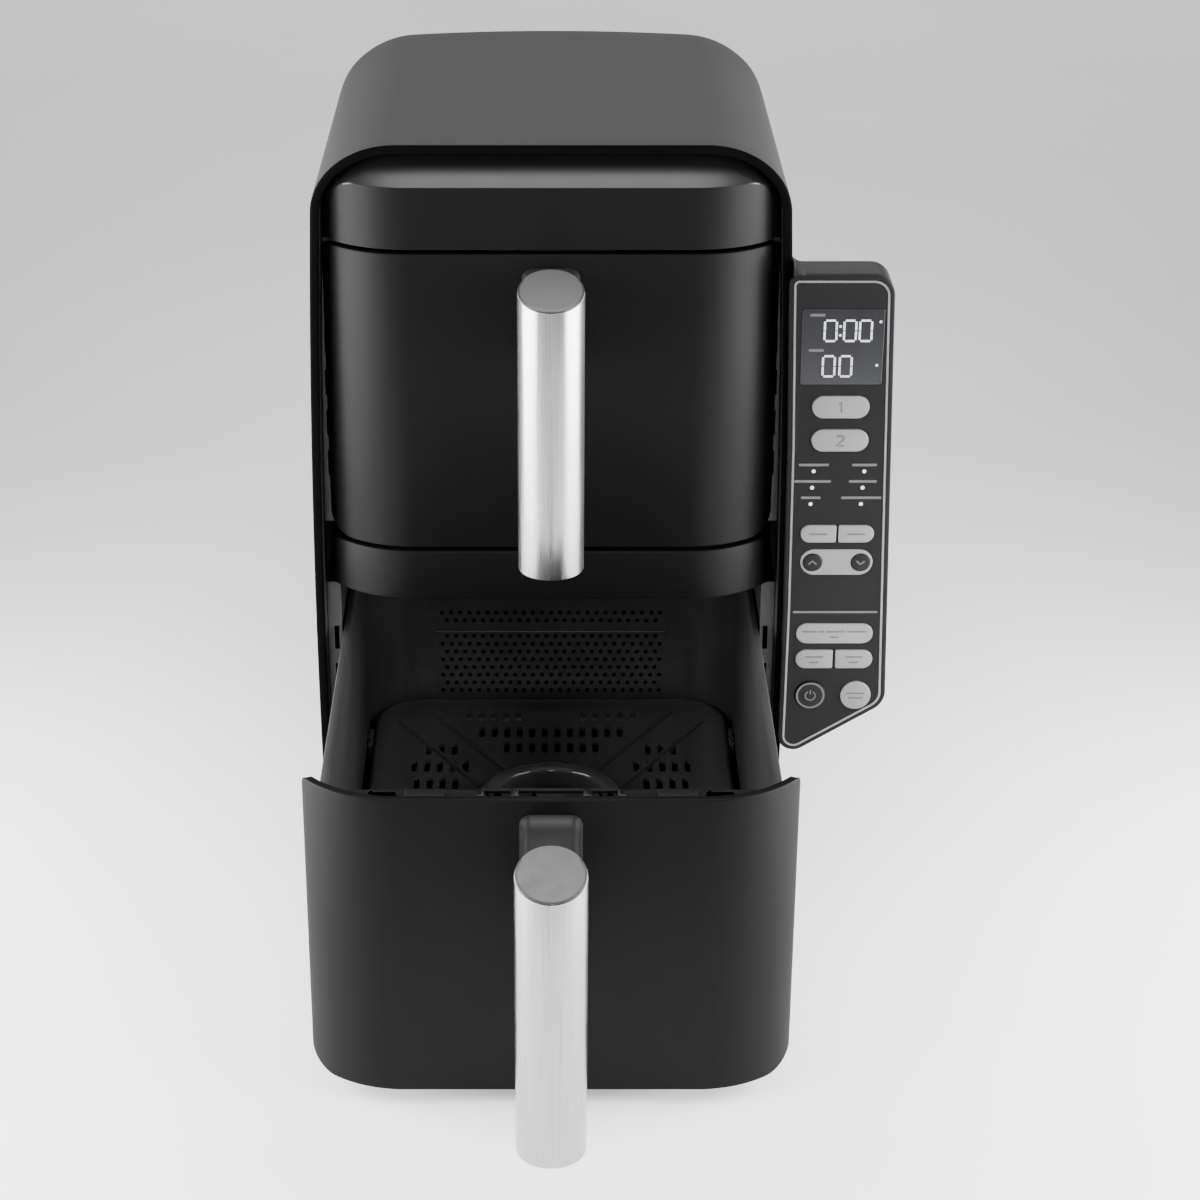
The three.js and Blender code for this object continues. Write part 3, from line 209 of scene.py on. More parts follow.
# ---- Shader expressions -----------------------------------------------------------------------
class Value:
    """A shader socket that can be used in a Python expression."""

    def __init__(self, shader, socket):
        self.shader = shader
        self.socket = socket

    def math(self, operation, *others):
        return self.shader.node("ShaderNodeMath", {"operation": operation}, [self, *others])[0]

    def __add__(self, other):
        return self.math("ADD", other)

    def __sub__(self, other):
        return self.math("SUBTRACT", other)

    def __mul__(self, other):
        return self.math("MULTIPLY", other)

    def __rsub__(self, other):
        return (self * -1.0) + other

    __radd__ = __add__
    __rmul__ = __mul__

    def ramp(self, low, high):
        """0 below low and 1 above high, smooth between."""
        return self.shader.node("ShaderNodeMapRange", {"interpolation_type": "SMOOTHSTEP"},
                                {"Value": self, "From Min": low, "From Max": high})[0]


class Shader:
    """One material, written as expressions on values."""

    def __init__(self, name):
        self.material = bpy.data.materials.new(name)
        self.material.use_nodes = True
        self.tree = self.material.node_tree
        self.surface = self.tree.nodes["Principled BSDF"]
        self.places = None

    def node(self, kind, options=None, inputs=None):
        """Adds a node; options are set first, then inputs by order or by name. Returns its outputs."""
        made = self.tree.nodes.new(kind)
        for name, value in (options or {}).items():
            setattr(made, name, value)
        pairs = inputs.items() if isinstance(inputs, dict) else enumerate(inputs or [])
        for key, value in pairs:
            self.feed(made.inputs[key], value)
        return [Value(self, socket) for socket in made.outputs]

    def feed(self, socket, value):
        if isinstance(value, Value):
            self.tree.links.new(value.socket, socket)
        elif socket.type == "RGBA" and len(value) == 3:
            socket.default_value = (*value, 1)
        else:
            socket.default_value = value

    def place(self, stretch=(1, 1, 1)):
        """The object's own coordinates in metres, stretched along each axis."""
        if self.places is None:
            self.places = self.node("ShaderNodeTexCoord")[3]
        return self.node("ShaderNodeVectorMath", {"operation": "MULTIPLY"}, [self.places, stretch])[0]

    def noise(self, scale, stretch=(1, 1, 1), detail=3.0, roughness=0.55):
        return self.node("ShaderNodeTexNoise", None, {"Vector": self.place(stretch), "Scale": scale,
                                                      "Detail": detail, "Roughness": roughness})[0]

    def cells(self, scale):
        return self.node("ShaderNodeTexVoronoi", None, {"Vector": self.place(), "Scale": scale})[0]

    def mix(self, share, first, second):
        """Colour mix: first where share is 0, second where it is 1."""
        return self.node("ShaderNodeMix", {"data_type": "RGBA"}, {0: share, 6: first, 7: second})[2]

    def bump(self, height, distance, strength=1.0):
        inputs = {"Height": height, "Distance": distance, "Strength": strength}
        return self.node("ShaderNodeBump", None, inputs)[0]

    def finish(self, **inputs):
        """Sets the surface's sockets; underscores in a name stand for spaces."""
        for name, value in inputs.items():
            self.feed(self.surface.inputs[name.replace("_", " ")], value)
        return self.material


def shade(base, factor):
    return tuple(min(1.0, part * factor) for part in base)


def moulded(name, base, roughness, grain, coat=0.0, shine=0.5):
    """Moulded plastic: fine spark-eroded grain, faint mottling, and handling marks in the gloss."""
    s = Shader(name)
    fine = s.noise(2600, detail=2)
    soft = s.noise(14, detail=4)
    smears = s.noise(45, stretch=(1, 1, 0.35), detail=5, roughness=0.65)
    tint = s.mix(soft.ramp(0.3, 0.7), shade(base, 0.94), shade(base, 1.07))
    gloss = roughness + (smears - 0.5) * 0.10 + (fine - 0.5) * 0.05
    return s.finish(Base_Color=tint, Roughness=gloss, Normal=s.bump(fine, grain), Coat_Weight=coat,
                    Coat_Roughness=0.3, Specular_IOR_Level=shine)


def shell_paint(base):
    """The shell's fine matte texture, faintly mottled and smeared."""
    s = Shader("shell_paint")
    fine = s.noise(2300, detail=2)
    soft = s.noise(9, detail=4)
    smears = s.noise(28, stretch=(1, 0.4, 1), detail=5, roughness=0.65)
    tint = s.mix(soft.ramp(0.3, 0.7), shade(base, 0.96), shade(base, 1.05))
    gloss = 0.55 + (smears - 0.5) * 0.10 + (fine - 0.5) * 0.06
    return s.finish(Base_Color=tint, Roughness=gloss, Normal=s.bump(fine, 0.05 * MM),
                    Specular_IOR_Level=0.25)


def brushed(name, base, roughness, stretch=(1, 1, 0.012), scale=1500.0):
    """Metal brushed along its length: fine streaks in tone, gloss and height."""
    s = Shader(name)
    streaks = s.noise(scale, stretch=stretch, detail=3)
    broad = s.noise(scale / 9, stretch=stretch, detail=2)
    soft = s.noise(25, detail=3)
    tint = s.mix(streaks.ramp(0.25, 0.75), shade(base, 0.86), shade(base, 1.06))
    gloss = roughness + (broad - 0.5) * 0.16 + (streaks - 0.5) * 0.12 + (soft - 0.5) * 0.05
    return s.finish(Base_Color=tint, Metallic=1.0, Roughness=gloss,
                    Normal=s.bump(streaks, 0.012 * MM, 0.6))


def coated(name, base, roughness):
    """Non-stick coating on sheet metal: fine orange peel, tiny flecks, faint scuffs."""
    s = Shader(name)
    peel = s.noise(900, detail=3)
    flecks = s.cells(1500)
    wipe = s.noise(30, stretch=(1, 0.3, 1), detail=5, roughness=0.7)
    bright = 1 - flecks.ramp(0.05, 0.12)
    sheen = s.mix(wipe.ramp(0.35, 0.7), shade(base, 0.85), shade(base, 1.15))
    tint = s.mix(bright * 0.35, sheen, shade(base, 5))
    gloss = roughness + (wipe - 0.5) * 0.14 + (peel - 0.5) * 0.08
    return s.finish(Base_Color=tint, Roughness=gloss, Normal=s.bump(peel, 0.03 * MM), Coat_Weight=0.12,
                    Coat_Roughness=0.25, Specular_IOR_Level=0.35)


def rubber(name, base):
    """Dull soft material with paler wear."""
    s = Shader(name)
    fine = s.noise(1700, detail=3)
    soft = s.noise(40, detail=4)
    tint = s.mix(soft.ramp(0.35, 0.7), base, shade(base, 1.6))
    gloss = 0.78 + (soft - 0.5) * 0.12
    return s.finish(Base_Color=tint, Roughness=gloss, Normal=s.bump(fine, 0.06 * MM))


def smoked_glass(name, base):
    """Dark window, slightly wiped."""
    s = Shader(name)
    soft = s.noise(60, detail=3)
    wipe = s.noise(140, stretch=(1, 1, 0.4), detail=5)
    tint = s.mix(soft.ramp(0.3, 0.7), shade(base, 0.92), shade(base, 1.08))
    return s.finish(Base_Color=tint, Roughness=0.2 + (wipe - 0.5) * 0.08, Coat_Weight=0.1,
                    Coat_Roughness=0.15, Specular_IOR_Level=0.25)


def glowing(name, base, strength):
    """Lit segments and lamps."""
    s = Shader(name)
    soft = s.noise(900, detail=1)
    tint = s.mix(soft, shade(base, 0.9), base)
    return s.finish(Base_Color=tint, Emission_Color=tint, Emission_Strength=strength, Roughness=0.4)


def heat_tinted(name, base):
    """Bare heating tube: straw and blue tempering colours over dull steel."""
    s = Shader(name)
    patches = s.noise(60, detail=4)
    fine = s.noise(1200, detail=2)
    warm = s.mix(patches.ramp(0.35, 0.6), base, (0.24, 0.15, 0.09))
    tint = s.mix(patches.ramp(0.6, 0.75), warm, (0.08, 0.09, 0.14))
    return s.finish(Base_Color=tint, Metallic=0.9, Roughness=0.42 + (fine - 0.5) * 0.2,
                    Normal=s.bump(fine, 0.03 * MM))


def circuit_green(name):
    """Solder resist over copper tracks, with bare pads."""
    s = Shader(name)
    tracks = s.node("ShaderNodeTexBrick", {"offset": 0.5},
                    {"Vector": s.place(), "Scale": 260.0, "Mortar Size": 0.12})[1]
    pads = 1 - s.cells(420).ramp(0.12, 0.16)
    tint = s.mix(tracks, (0.012, 0.10, 0.035), (0.02, 0.17, 0.06))
    tint = s.mix(pads, tint, (0.72, 0.55, 0.28))
    return s.finish(Base_Color=tint, Metallic=pads * 0.9, Roughness=0.38 + pads * -0.1,
                    Normal=s.bump(tracks, 0.05 * MM))


FINISHES = {}


def finishes():
    """Every material by name, made once."""
    if FINISHES:
        return FINISHES
    f = settings().finish
    front = tuple(f.front)
    coating = tuple(f.coating)
    FINISHES.update({
        "shell": shell_paint(tuple(f.shell)),
        "rim": moulded("rim_black", tuple(f.rim), 0.6, 0.03 * MM, shine=0.02),
        "pod": moulded("pod_plastic", front, 0.36, 0.02 * MM, shine=0.3),
        "front": moulded("front_satin", front, 0.47, 0.02 * MM, shine=0.09),
        # The brow is the same satin black plastic as the fascia's face, drawn 2.6 times lighter: painted
        # reflection.
        "brow": moulded("brow_painted_reflection", shade(front, 2.6), 0.4, 0.02 * MM, shine=0.42),
        "base": moulded("base_black", shade(front, 3.0), 0.6, 0.05 * MM),
        "ledge": moulded("ledge_black", shade(front, 1.6), 0.5, 0.03 * MM, shine=0.15),
        "bracket": moulded("bracket_gloss", shade(front, 1.5), 0.3, 0.01 * MM, shine=0.35),
        "panel": moulded("panel_grey", tuple(f.panel), 0.42, 0.015 * MM, shine=0.09),
        "arm": moulded("arm_grey", (0.0085, 0.0085, 0.009), 0.42, 0.02 * MM, shine=0.25),
        "key": moulded("key_grey", tuple(f.key), 0.42, 0.012 * MM),
        "key_black": moulded("key_black", (0.007, 0.007, 0.0074), 0.42, 0.012 * MM, shine=0.12),
        "legend": moulded("legend_dark", (0.05, 0.05, 0.052), 0.5, 0.01 * MM),
        "print": moulded("panel_print", (0.058, 0.058, 0.06), 0.5, 0.01 * MM),
        "silver": brushed("trim_silver", (0.21, 0.21, 0.215), 0.4),
        "steel": brushed("handle_steel", tuple(f.steel), 0.26),
        "cap": brushed("cap_steel", tuple(f.cap), 0.46, stretch=(1, 1, 1), scale=1400.0),
        "basket": coated("basket_coating", shade(coating, 0.8), 0.38),
        # The plate and its ring use the same non-stick coating as the basket, drawn lighter (1.45 and 1.2
        # times the coating, against 0.8): painted light on the upward-facing plate, and a painted highlight
        # on the ring on top of its real gloss.
        "plate": coated("plate_coating_painted_light", shade(coating, 1.45), 0.33),
        "gloss": coated("ring_coating_painted_highlight", shade(coating, 1.2), 0.12),
        "bay": coated("bay_coating", shade(coating, 0.8), 0.42),
        "rubber": rubber("soft_black", (0.011, 0.011, 0.011)),
        "silicone": rubber("bumper_silicone", (0.016, 0.016, 0.016)),
        "glass": smoked_glass("display_glass", (0.011, 0.0113, 0.0135)),
        "glow": glowing("segment_glow", shade(tuple(f.glow), 0.6), 0.14),
        "heater": heat_tinted("heater_steel", (0.2, 0.18, 0.17)),
        "fan": brushed("fan_sheet", (0.5, 0.5, 0.51), 0.35, stretch=(1, 1, 1), scale=700.0),
        "motor": brushed("motor_case", (0.24, 0.24, 0.25), 0.4, stretch=(1, 0.05, 1), scale=900.0),
        "board": circuit_green("circuit_board"),
    })
    return FINISHES


# ---- Outlines and meshes ----------------------------------------------------------------------
def arc(u, v, radius_u, radius_v, start, end, steps):
    return [(u + radius_u * math.cos(start + (end - start) * i / steps),
             v + radius_v * math.sin(start + (end - start) * i / steps)) for i in range(steps + 1)]


def rounded(u0, u1, v0, v1, left, right=None, steps=8):
    """An anticlockwise rectangle whose left and right corners have their own radii."""
    right = left if right is None else right
    return [
        *arc(u1 - right, v0 + right, right, right, -QUARTER, 0, steps),
        *arc(u1 - right, v1 - right, right, right, 0, QUARTER, steps),
        *arc(u0 + left, v1 - left, left, left, QUARTER, 2 * QUARTER, steps),
        *arc(u0 + left, v0 + left, left, left, 2 * QUARTER, 3 * QUARTER, steps),
    ]


def shrunk(outline, distance):
    """An anticlockwise outline with every edge moved inwards."""
    result = []
    count = len(outline)
    for i, here in enumerate(outline):
        before, after = Vector(outline[i - 1]), Vector(outline[(i + 1) % count])
        a = (Vector(here) - before).normalized()
        b = (after - Vector(here)).normalized()
        normal = Vector((-a.y - b.y, a.x + b.x))
        normal.normalize()
        reach = distance / max(0.3, normal.dot(Vector((-a.y, a.x))))
        result.append((here[0] + normal.x * reach, here[1] + normal.y * reach))
    return result


def rows_to_faces(rows, columns, closed, start=0):
    faces = []
    wrap = columns if closed else columns - 1
    for r in range(rows - 1):
        for c in range(wrap):
            a = start + r * columns + c
            b = start + r * columns + (c + 1) % columns
            faces.append((a, b, b + columns, a + columns))
    return faces


def lofted_sheet(rows):
    """Open rows joined in order."""
    return [point for row in rows for point in row], rows_to_faces(len(rows), len(rows[0]), False)


def lofted(rows, caps=(True, True)):
    """Closed rings joined in order, with flat ends where caps says so."""
    count = len(rows[0])
    faces = rows_to_faces(len(rows), count, True)
    if caps[0]:
        faces.append(tuple(range(count))[::-1])
    if caps[1]:
        last = (len(rows) - 1) * count
        faces.append(tuple(range(last, last + count)))
    return [point for row in rows for point in row], faces


def welded(mesh, limit=1e-6, recalculate=True):
    work = bmesh.new()
    work.from_mesh(mesh)
    bmesh.ops.remove_doubles(work, verts=work.verts, dist=limit)
    bmesh.ops.dissolve_degenerate(work, edges=work.edges, dist=limit / 2)
    if recalculate:
        bmesh.ops.recalc_face_normals(work, faces=work.faces)
    work.to_mesh(mesh)
    work.free()


def smoothed(mesh, angle=32):
    mesh.polygons.foreach_set("use_smooth", [True] * len(mesh.polygons))
    mesh.set_sharp_from_angle(angle=math.radians(angle))


def solid(name, parts, move=MIDDLE, finish="front", sharp=32, recalculate=True):
    """A mesh object from (vertices, faces) parts drawn in local coordinates."""
    mesh = bpy.data.meshes.new(name)
    vertices, faces = [], []
    for part_vertices, part_faces in parts:
        start = len(vertices)
        vertices += [tuple(Vector(v) + move) for v in part_vertices]
        faces += [tuple(i + start for i in face) for face in part_faces]
    mesh.from_pydata(vertices, [], faces)
    welded(mesh, recalculate=recalculate)
    smoothed(mesh, sharp)
    mesh.materials.append(finishes()[finish])
    made = bpy.data.objects.new(name, mesh)
    bpy.context.scene.collection.objects.link(made)
    return made


def baked(source):
    """Replaces an object's mesh by what its modifiers make of it."""
    bpy.context.view_layer.update()
    graph = bpy.context.evaluated_depsgraph_get()
    mesh = bpy.data.meshes.new_from_object(source.evaluated_get(graph))
    source.modifiers.clear()
    old = source.data
    source.data = mesh
    bpy.data.meshes.remove(old)
    return source


def cut(body, cutter, operation="DIFFERENCE", sharp=32):
    """Cuts a closed body by a closed cutter, and removes the cutter."""
    cutter.data.materials.clear()
    modifier = body.modifiers.new("cut", "BOOLEAN")
    modifier.operation = operation
    modifier.solver = "MANIFOLD"
    modifier.object = cutter
    baked(body)
    bpy.data.objects.remove(cutter)
    if not body.data.polygons:
        raise RuntimeError(f"cutting {body.name} left nothing")
    smoothed(body.data, sharp)
    return body


def merged(name, objects):
    """Several objects of one body as one mesh, each keeping its own material."""
    work = bmesh.new()
    materials = []
    for part in objects:
        start = len(work.faces)
        work.from_mesh(part.data)
        work.faces.ensure_lookup_table()
        for material in part.data.materials:
            if material not in materials:
                materials.append(material)
        for face in work.faces[start:]:
            face.material_index = materials.index(part.data.materials[face.material_index])
    mesh = bpy.data.meshes.new(name)
    work.to_mesh(mesh)
    work.free()
    for material in materials:
        mesh.materials.append(material)
    for part in objects:
        bpy.data.objects.remove(part)
    made = bpy.data.objects.new(name, mesh)
    bpy.context.scene.collection.objects.link(made)
    return made


def bevelled(source, width, segments=3, angle=35):
    modifier = source.modifiers.new("bevel", "BEVEL")
    modifier.width = width
    modifier.segments = segments
    modifier.limit_method = "ANGLE"
    modifier.angle_limit = math.radians(angle)
    modifier.harden_normals = False
    baked(source)
    smoothed(source.data)
    return source


def mounted(piece, body, slot, *nodes):
    """Gives a finished piece its body and hides the CAD nodes that it stands for; the slot is not used."""
    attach(piece, body)
    if nodes:
        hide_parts(*nodes)
    return piece


def layered(loops):
    """Loops given as (outline in X and Z, Y), joined in order and closed at both ends."""
    return lofted([[(x, y, z) for x, z in outline] for outline, y in loops])


def spun(profile, turns, centre, axis="Z"):
    """Rows of a profile of (radius, height) turned about an axis along Z or Y."""
    rows = []
    for radius, height in profile:
        circle = arc(0, 0, radius, radius, 0, 2 * math.pi, turns)[:-1]
        if axis == "Z":
            rows.append([(centre.x + u, centre.y + v, height) for u, v in circle])
        else:
            rows.append([(centre.x + u, height, centre.z + v) for u, v in circle])
    return rows


def punched(body, outline, front, rear, move=MIDDLE, sharp=32):
    """Cuts an outline in X and Z through a body, between two depths."""
    return cut(body, solid("cutter", [layered([(outline, front), (outline, rear)])], move), sharp=sharp)


def plate_loops(outline, front, rear, edge, steps=4):
    """A plate whose front edge is rounded."""
    loops = [(outline, rear)]
    for i in range(steps + 1):
        angle = QUARTER * i / steps
        loops.append((shrunk(outline, edge * (1 - math.cos(angle))), front + edge * (1 - math.sin(angle))))
    return loops


# ---- Geometry node trees ----------------------------------------------------------------------
class Growth:
    """A geometry node tree with named inputs."""

    def __init__(self, name, inputs):
        self.tree = bpy.data.node_groups.new(name, "GeometryNodeTree")
        self.tree.interface.new_socket("Geometry", in_out="INPUT", socket_type="NodeSocketGeometry")
        for label, kind in inputs:
            self.tree.interface.new_socket(label, in_out="INPUT", socket_type=kind)
        self.tree.interface.new_socket("Geometry", in_out="OUTPUT", socket_type="NodeSocketGeometry")
        self.source = self.tree.nodes.new("NodeGroupInput")

    def add(self, kind, options=None, inputs=None):
        made = self.tree.nodes.new(kind)
        for name, value in (options or {}).items():
            setattr(made, name, value)
        for key, value in (inputs or {}).items():
            if isinstance(value, bpy.types.NodeSocket):
                self.tree.links.new(value, made.inputs[key])
            else:
                made.inputs[key].default_value = value
        return made

    def close(self, geometry):
        real = self.add("GeometryNodeRealizeInstances", None, {"Geometry": geometry})
        dressed = self.add("GeometryNodeSetMaterial", None,
                           {"Geometry": real.outputs[0], "Material": self.source.outputs["Material"]})
        self.add("NodeGroupOutput", None, {0: dressed.outputs[0]})
        return self.tree


LENGTH = "NodeSocketFloat"


def pill_tree():
    """On every point, a round-cornered block: width along X, height along Y, depth along Z, then turned."""
    g = Growth("pills", [("Width", LENGTH), ("Height", LENGTH), ("Depth", LENGTH), ("Radius", LENGTH),
                         ("Turn", "NodeSocketVector"), ("Material", "NodeSocketMaterial")])
    i = g.source.outputs
    rectangle = g.add("GeometryNodeCurvePrimitiveQuadrilateral", None,
                      {"Width": i["Width"], "Height": i["Height"]})
    corners = g.add("GeometryNodeFilletCurve", {"mode": "POLY"},
                    {"Curve": rectangle.outputs[0], "Radius": i["Radius"], "Limit Radius": True, "Count": 4})
    filled = g.add("GeometryNodeFillCurve", {"mode": "NGONS"}, {"Curve": corners.outputs[0]})
    raised = g.add("GeometryNodeExtrudeMesh", None, {"Mesh": filled.outputs[0], "Offset Scale": i["Depth"],
                                                     "Individual": False})
    flipped = g.add("GeometryNodeFlipFaces", None, {"Mesh": filled.outputs[0]})
    both = g.add("GeometryNodeJoinGeometry")
    g.tree.links.new(raised.outputs[0], both.inputs[0])
    g.tree.links.new(flipped.outputs[0], both.inputs[0])
    block = g.add("GeometryNodeMergeByDistance", None, {"Geometry": both.outputs[0], "Distance": 1e-6})
    points = g.add("GeometryNodeMeshToPoints", None, {"Mesh": i["Geometry"]})
    placed = g.add("GeometryNodeInstanceOnPoints", None,
                   {"Points": points.outputs[0], "Instance": block.outputs[0], "Rotation": i["Turn"]})
    return g.close(placed.outputs[0])


def stroke_tree():
    """A bar of rectangular section along every edge path."""
    g = Growth("strokes", [("Width", LENGTH), ("Height", LENGTH), ("Material", "NodeSocketMaterial")])
    i = g.source.outputs
    paths = g.add("GeometryNodeMeshToCurve", None, {"Mesh": i["Geometry"]})
    section = g.add("GeometryNodeCurvePrimitiveQuadrilateral", None,
                    {"Width": i["Width"], "Height": i["Height"]})
    bars = g.add("GeometryNodeCurveToMesh", None,
                 {"Curve": paths.outputs[0], "Profile Curve": section.outputs[0], "Fill Caps": True})
    return g.close(bars.outputs[0])


def tube_tree():
    """A round tube along every edge path."""
    g = Growth("tubes", [("Radius", LENGTH), ("Sides", "NodeSocketInt"), ("Material", "NodeSocketMaterial")])
    i = g.source.outputs
    paths = g.add("GeometryNodeMeshToCurve", None, {"Mesh": i["Geometry"]})
    section = g.add("GeometryNodeCurvePrimitiveCircle", None,
                    {"Radius": i["Radius"], "Resolution": i["Sides"]})
    tubes = g.add("GeometryNodeCurveToMesh", None,
                  {"Curve": paths.outputs[0], "Profile Curve": section.outputs[0], "Fill Caps": True})
    return g.close(tubes.outputs[0])


def turned_tree():
    """The source repeated round an axis along Y through Centre."""
    g = Growth("turned", [("Count", "NodeSocketInt"), ("Centre", "NodeSocketVector"),
                          ("Material", "NodeSocketMaterial")])
    i = g.source.outputs
    back = g.add("ShaderNodeVectorMath", {"operation": "SCALE"}, {0: i["Centre"], "Scale": -1.0})
    centred = g.add("GeometryNodeTransform", None,
                    {"Geometry": i["Geometry"], "Translation": back.outputs[0]})
    line = g.add("GeometryNodeMeshLine", None, {"Count": i["Count"], "Offset": (0.0, 0.0, 0.0)})
    index = g.add("GeometryNodeInputIndex")
    step = g.add("ShaderNodeMath", {"operation": "DIVIDE"}, {0: 2 * math.pi, 1: i["Count"]})
    angle = g.add("ShaderNodeMath", {"operation": "MULTIPLY"}, {0: index.outputs[0], 1: step.outputs[0]})
    turn = g.add("ShaderNodeCombineXYZ", None, {"Y": angle.outputs[0]})
    points = g.add("GeometryNodeMeshToPoints", None, {"Mesh": line.outputs[0]})
    wheel = g.add("GeometryNodeInstanceOnPoints", None,
                  {"Points": points.outputs[0], "Instance": centred.outputs[0], "Rotation": turn.outputs[0]})
    real = g.add("GeometryNodeRealizeInstances", None, {"Geometry": wheel.outputs[0]})
    home = g.add("GeometryNodeTransform", None, {"Geometry": real.outputs[0], "Translation": i["Centre"]})
    return g.close(home.outputs[0])


TREES = {}


def grown(name, maker, vertices, edges=(), faces=(), move=MIDDLE, finish="front", sharp=32, **inputs):
    """Runs a tree on points, paths or a mesh and returns the result as a plain mesh object."""
    if maker not in TREES:
        TREES[maker] = maker()
    tree = TREES[maker]
    mesh = bpy.data.meshes.new(name)
    mesh.from_pydata([tuple(Vector(v) + move) for v in vertices], list(edges), list(faces))
    made = bpy.data.objects.new(name, mesh)
    bpy.context.scene.collection.objects.link(made)
    modifier = made.modifiers.new("grow", "NODES")
    modifier.node_group = tree
    values = {**inputs, "Material": finishes()[finish]}
    if "Centre" in values:
        values["Centre"] = tuple(Vector(values["Centre"]) + move)
    for item in tree.interface.items_tree:
        if item.in_out == "INPUT" and item.name in values:
            modifier[item.identifier] = values[item.name]
    baked(made)
    if not made.data.polygons:
        raise RuntimeError(f"{name} came out empty")
    if not made.data.materials:
        made.data.materials.append(finishes()[finish])
    smoothed(made.data, sharp)
    return made


def pills(name, places, size, radius, turn=FACING, move=MIDDLE, finish="front"):
    """Round-cornered blocks of one size (width, height, depth) at each place."""
    width, height, depth = size
    return grown(name, pill_tree, places, move=move, finish=finish, Width=width, Height=height, Depth=depth,
                 Radius=radius, Turn=turn)


def hoop(name, tree, centre, radius, turns, finish, **inputs):
    """A closed circle about Y, thickened by a tree."""
    x, y, z = centre
    circle = [(u, y, v) for u, v in arc(x, z, radius, radius, 0, 2 * math.pi, turns)[:-1]]
    edges = [(i, (i + 1) % turns) for i in range(turns)]
    return grown(name, tree, circle, edges, finish=finish, **inputs)


# ---- Outer shell ------------------------------------------------------------------------------
def side_x(z):
    """Half width of the shell at a height."""
    s = settings().shell
    lean = (z - s.widest) / (TOP - s.corner_drop - s.widest)
    return HALF - s.taper * lean * lean


def shell_outline(inset, bottom, top, steps=20):
    """Right half from the bottom up and over, then the left half down, in (X, Z)."""
    s = settings().shell
    shoulder = top + inset - s.corner_drop
    corner_x = side_x(shoulder) - s.corner_run
    half = []
    for i in range(16):
        z = bottom + (shoulder - bottom) * i / 16
        half.append((side_x(z) - inset, z))
    half += arc(corner_x, shoulder, s.corner_run - inset, s.corner_drop - inset, 0, QUARTER, steps)
    half += [(corner_x * (1 - i / 6), top) for i in range(1, 6)]
    return half + [(0.0, top)] + [(-x, z) for x, z in reversed(half)]


def top_line(inset, steps=12):
    """Line of the top in (Y, Z) from the rear wall forwards."""
    s = settings().shell
    top_y = DEPTH - s.roll_run
    slope_y = top_y + s.roll_radius * math.sin(s.roll_angle)
    slope_z = TOP - s.roll_radius * (1 - math.cos(s.roll_angle))
    r = s.rear_corner
    corner_start_y = DEPTH - r * (1 - math.sin(s.roll_angle))
    corner_start_z = slope_z - (corner_start_y - slope_y) * math.tan(s.roll_angle)
    corner_z = corner_start_z - r * math.cos(s.roll_angle)
    slope = QUARTER - s.roll_angle
    big = s.roll_radius - inset
    return [
        *arc(DEPTH - r, corner_z, r - inset, r - inset, 0, slope, steps + 4),
        *arc(top_y, TOP - s.roll_radius, big, big, slope, QUARTER, steps),
    ]


def crowned(point):
    """Lifts the top a little towards its middle and rear, fading to nothing at the rim and the sides."""
    x, y, z = point
    across = max(0.0, 1 - (x / (HALF * 0.85)) ** 2)
    along = min(1.0, max(0.0, y / (DEPTH * 0.6)))
    upward = min(1.0, max(0.0, (z - TOP + 0.1) / 0.08))
    return x, y, z + settings().shell.crown * across * along * along * (3 - 2 * along) * upward


def shell_piece():
    """The shell as rows of outlines: over the outside from the rear, round the rim, and back inside."""
    s = settings().shell
    low, rim = SHELL_FOOT, s.rim_round
    outside = [[(x, y, z) for x, z in shell_outline(0, low, top)] for y, top in top_line(0)]
    inside = [[(x, y, z) for x, z in shell_outline(s.wall, low, top)] for y, top in top_line(s.wall)]
    straight = [(DEPTH - s.roll_run) * share for share in (0.8, 0.6, 0.4, 0.2, 0.08)]
    rim_rows = []
    for i in range(6):
        angle = QUARTER * i / 5
        inset, y = rim * (1 - math.cos(angle)), rim * (1 - math.sin(angle))
        rim_rows.append([(x, y, z) for x, z in shell_outline(inset, low, TOP - inset)])
    for i in range(6):
        angle = QUARTER * (1 - i / 5)
        inset, y = s.wall - rim * (1 - math.cos(angle)), rim * (1 - math.sin(angle))
        rim_rows.append([(x, y, z) for x, z in shell_outline(inset, low, TOP - inset)])
    rows = [*outside, *([(x, y, z) for x, z in shell_outline(0, low, TOP)] for y in straight), *rim_rows]
    rows += [[(x, y, z) for x, z in shell_outline(s.wall, low, TOP - s.wall)] for y in reversed(straight)]
    rows += reversed(inside)
    count = len(rows[0])
    last = (len(rows) - 1) * count
    faces = rows_to_faces(len(rows), count, False)
    for r in range(len(rows) // 2 - 1):
        for side in (0, count - 1):
            faces.append((r * count + side, (r + 1) * count + side,
                          (len(rows) - 2 - r) * count + side, (len(rows) - 1 - r) * count + side))
    faces += [tuple(range(count)), tuple(range(last, last + count)), (0, count - 1, last + count - 1, last)]
    vertices = [crowned(point) for row in rows for point in row]
    shell = solid("shell_skin", [(vertices, faces)], finish="shell", sharp=28)

    cover_low, cover_high = local_box("rear_cover")
    lip = 4 * MM
    opening = rounded(cover_low.x + lip, cover_high.x - lip, cover_low.z + lip, cover_high.z - lip, 10 * MM)
    punched(shell, opening, DEPTH - 20 * MM, DEPTH + 5 * MM, sharp=28)
    gland_low, gland_high = local_box("cord_gland")
    centre = (gland_low + gland_high) / 2
    hole = arc(centre.x, centre.z, 6 * MM, 6 * MM, 0, 2 * math.pi, 32)[:-1]
    punched(shell, hole, DEPTH - 20 * MM, DEPTH + 5 * MM, sharp=28)
    shell.data.materials.append(finishes()["rim"])
    for face in shell.data.polygons:
        if face.center.y < MIDDLE.y + rim:
            face.material_index = len(shell.data.materials) - 1
    mounted(shell, "body", "shell_grey", "outer_shell")


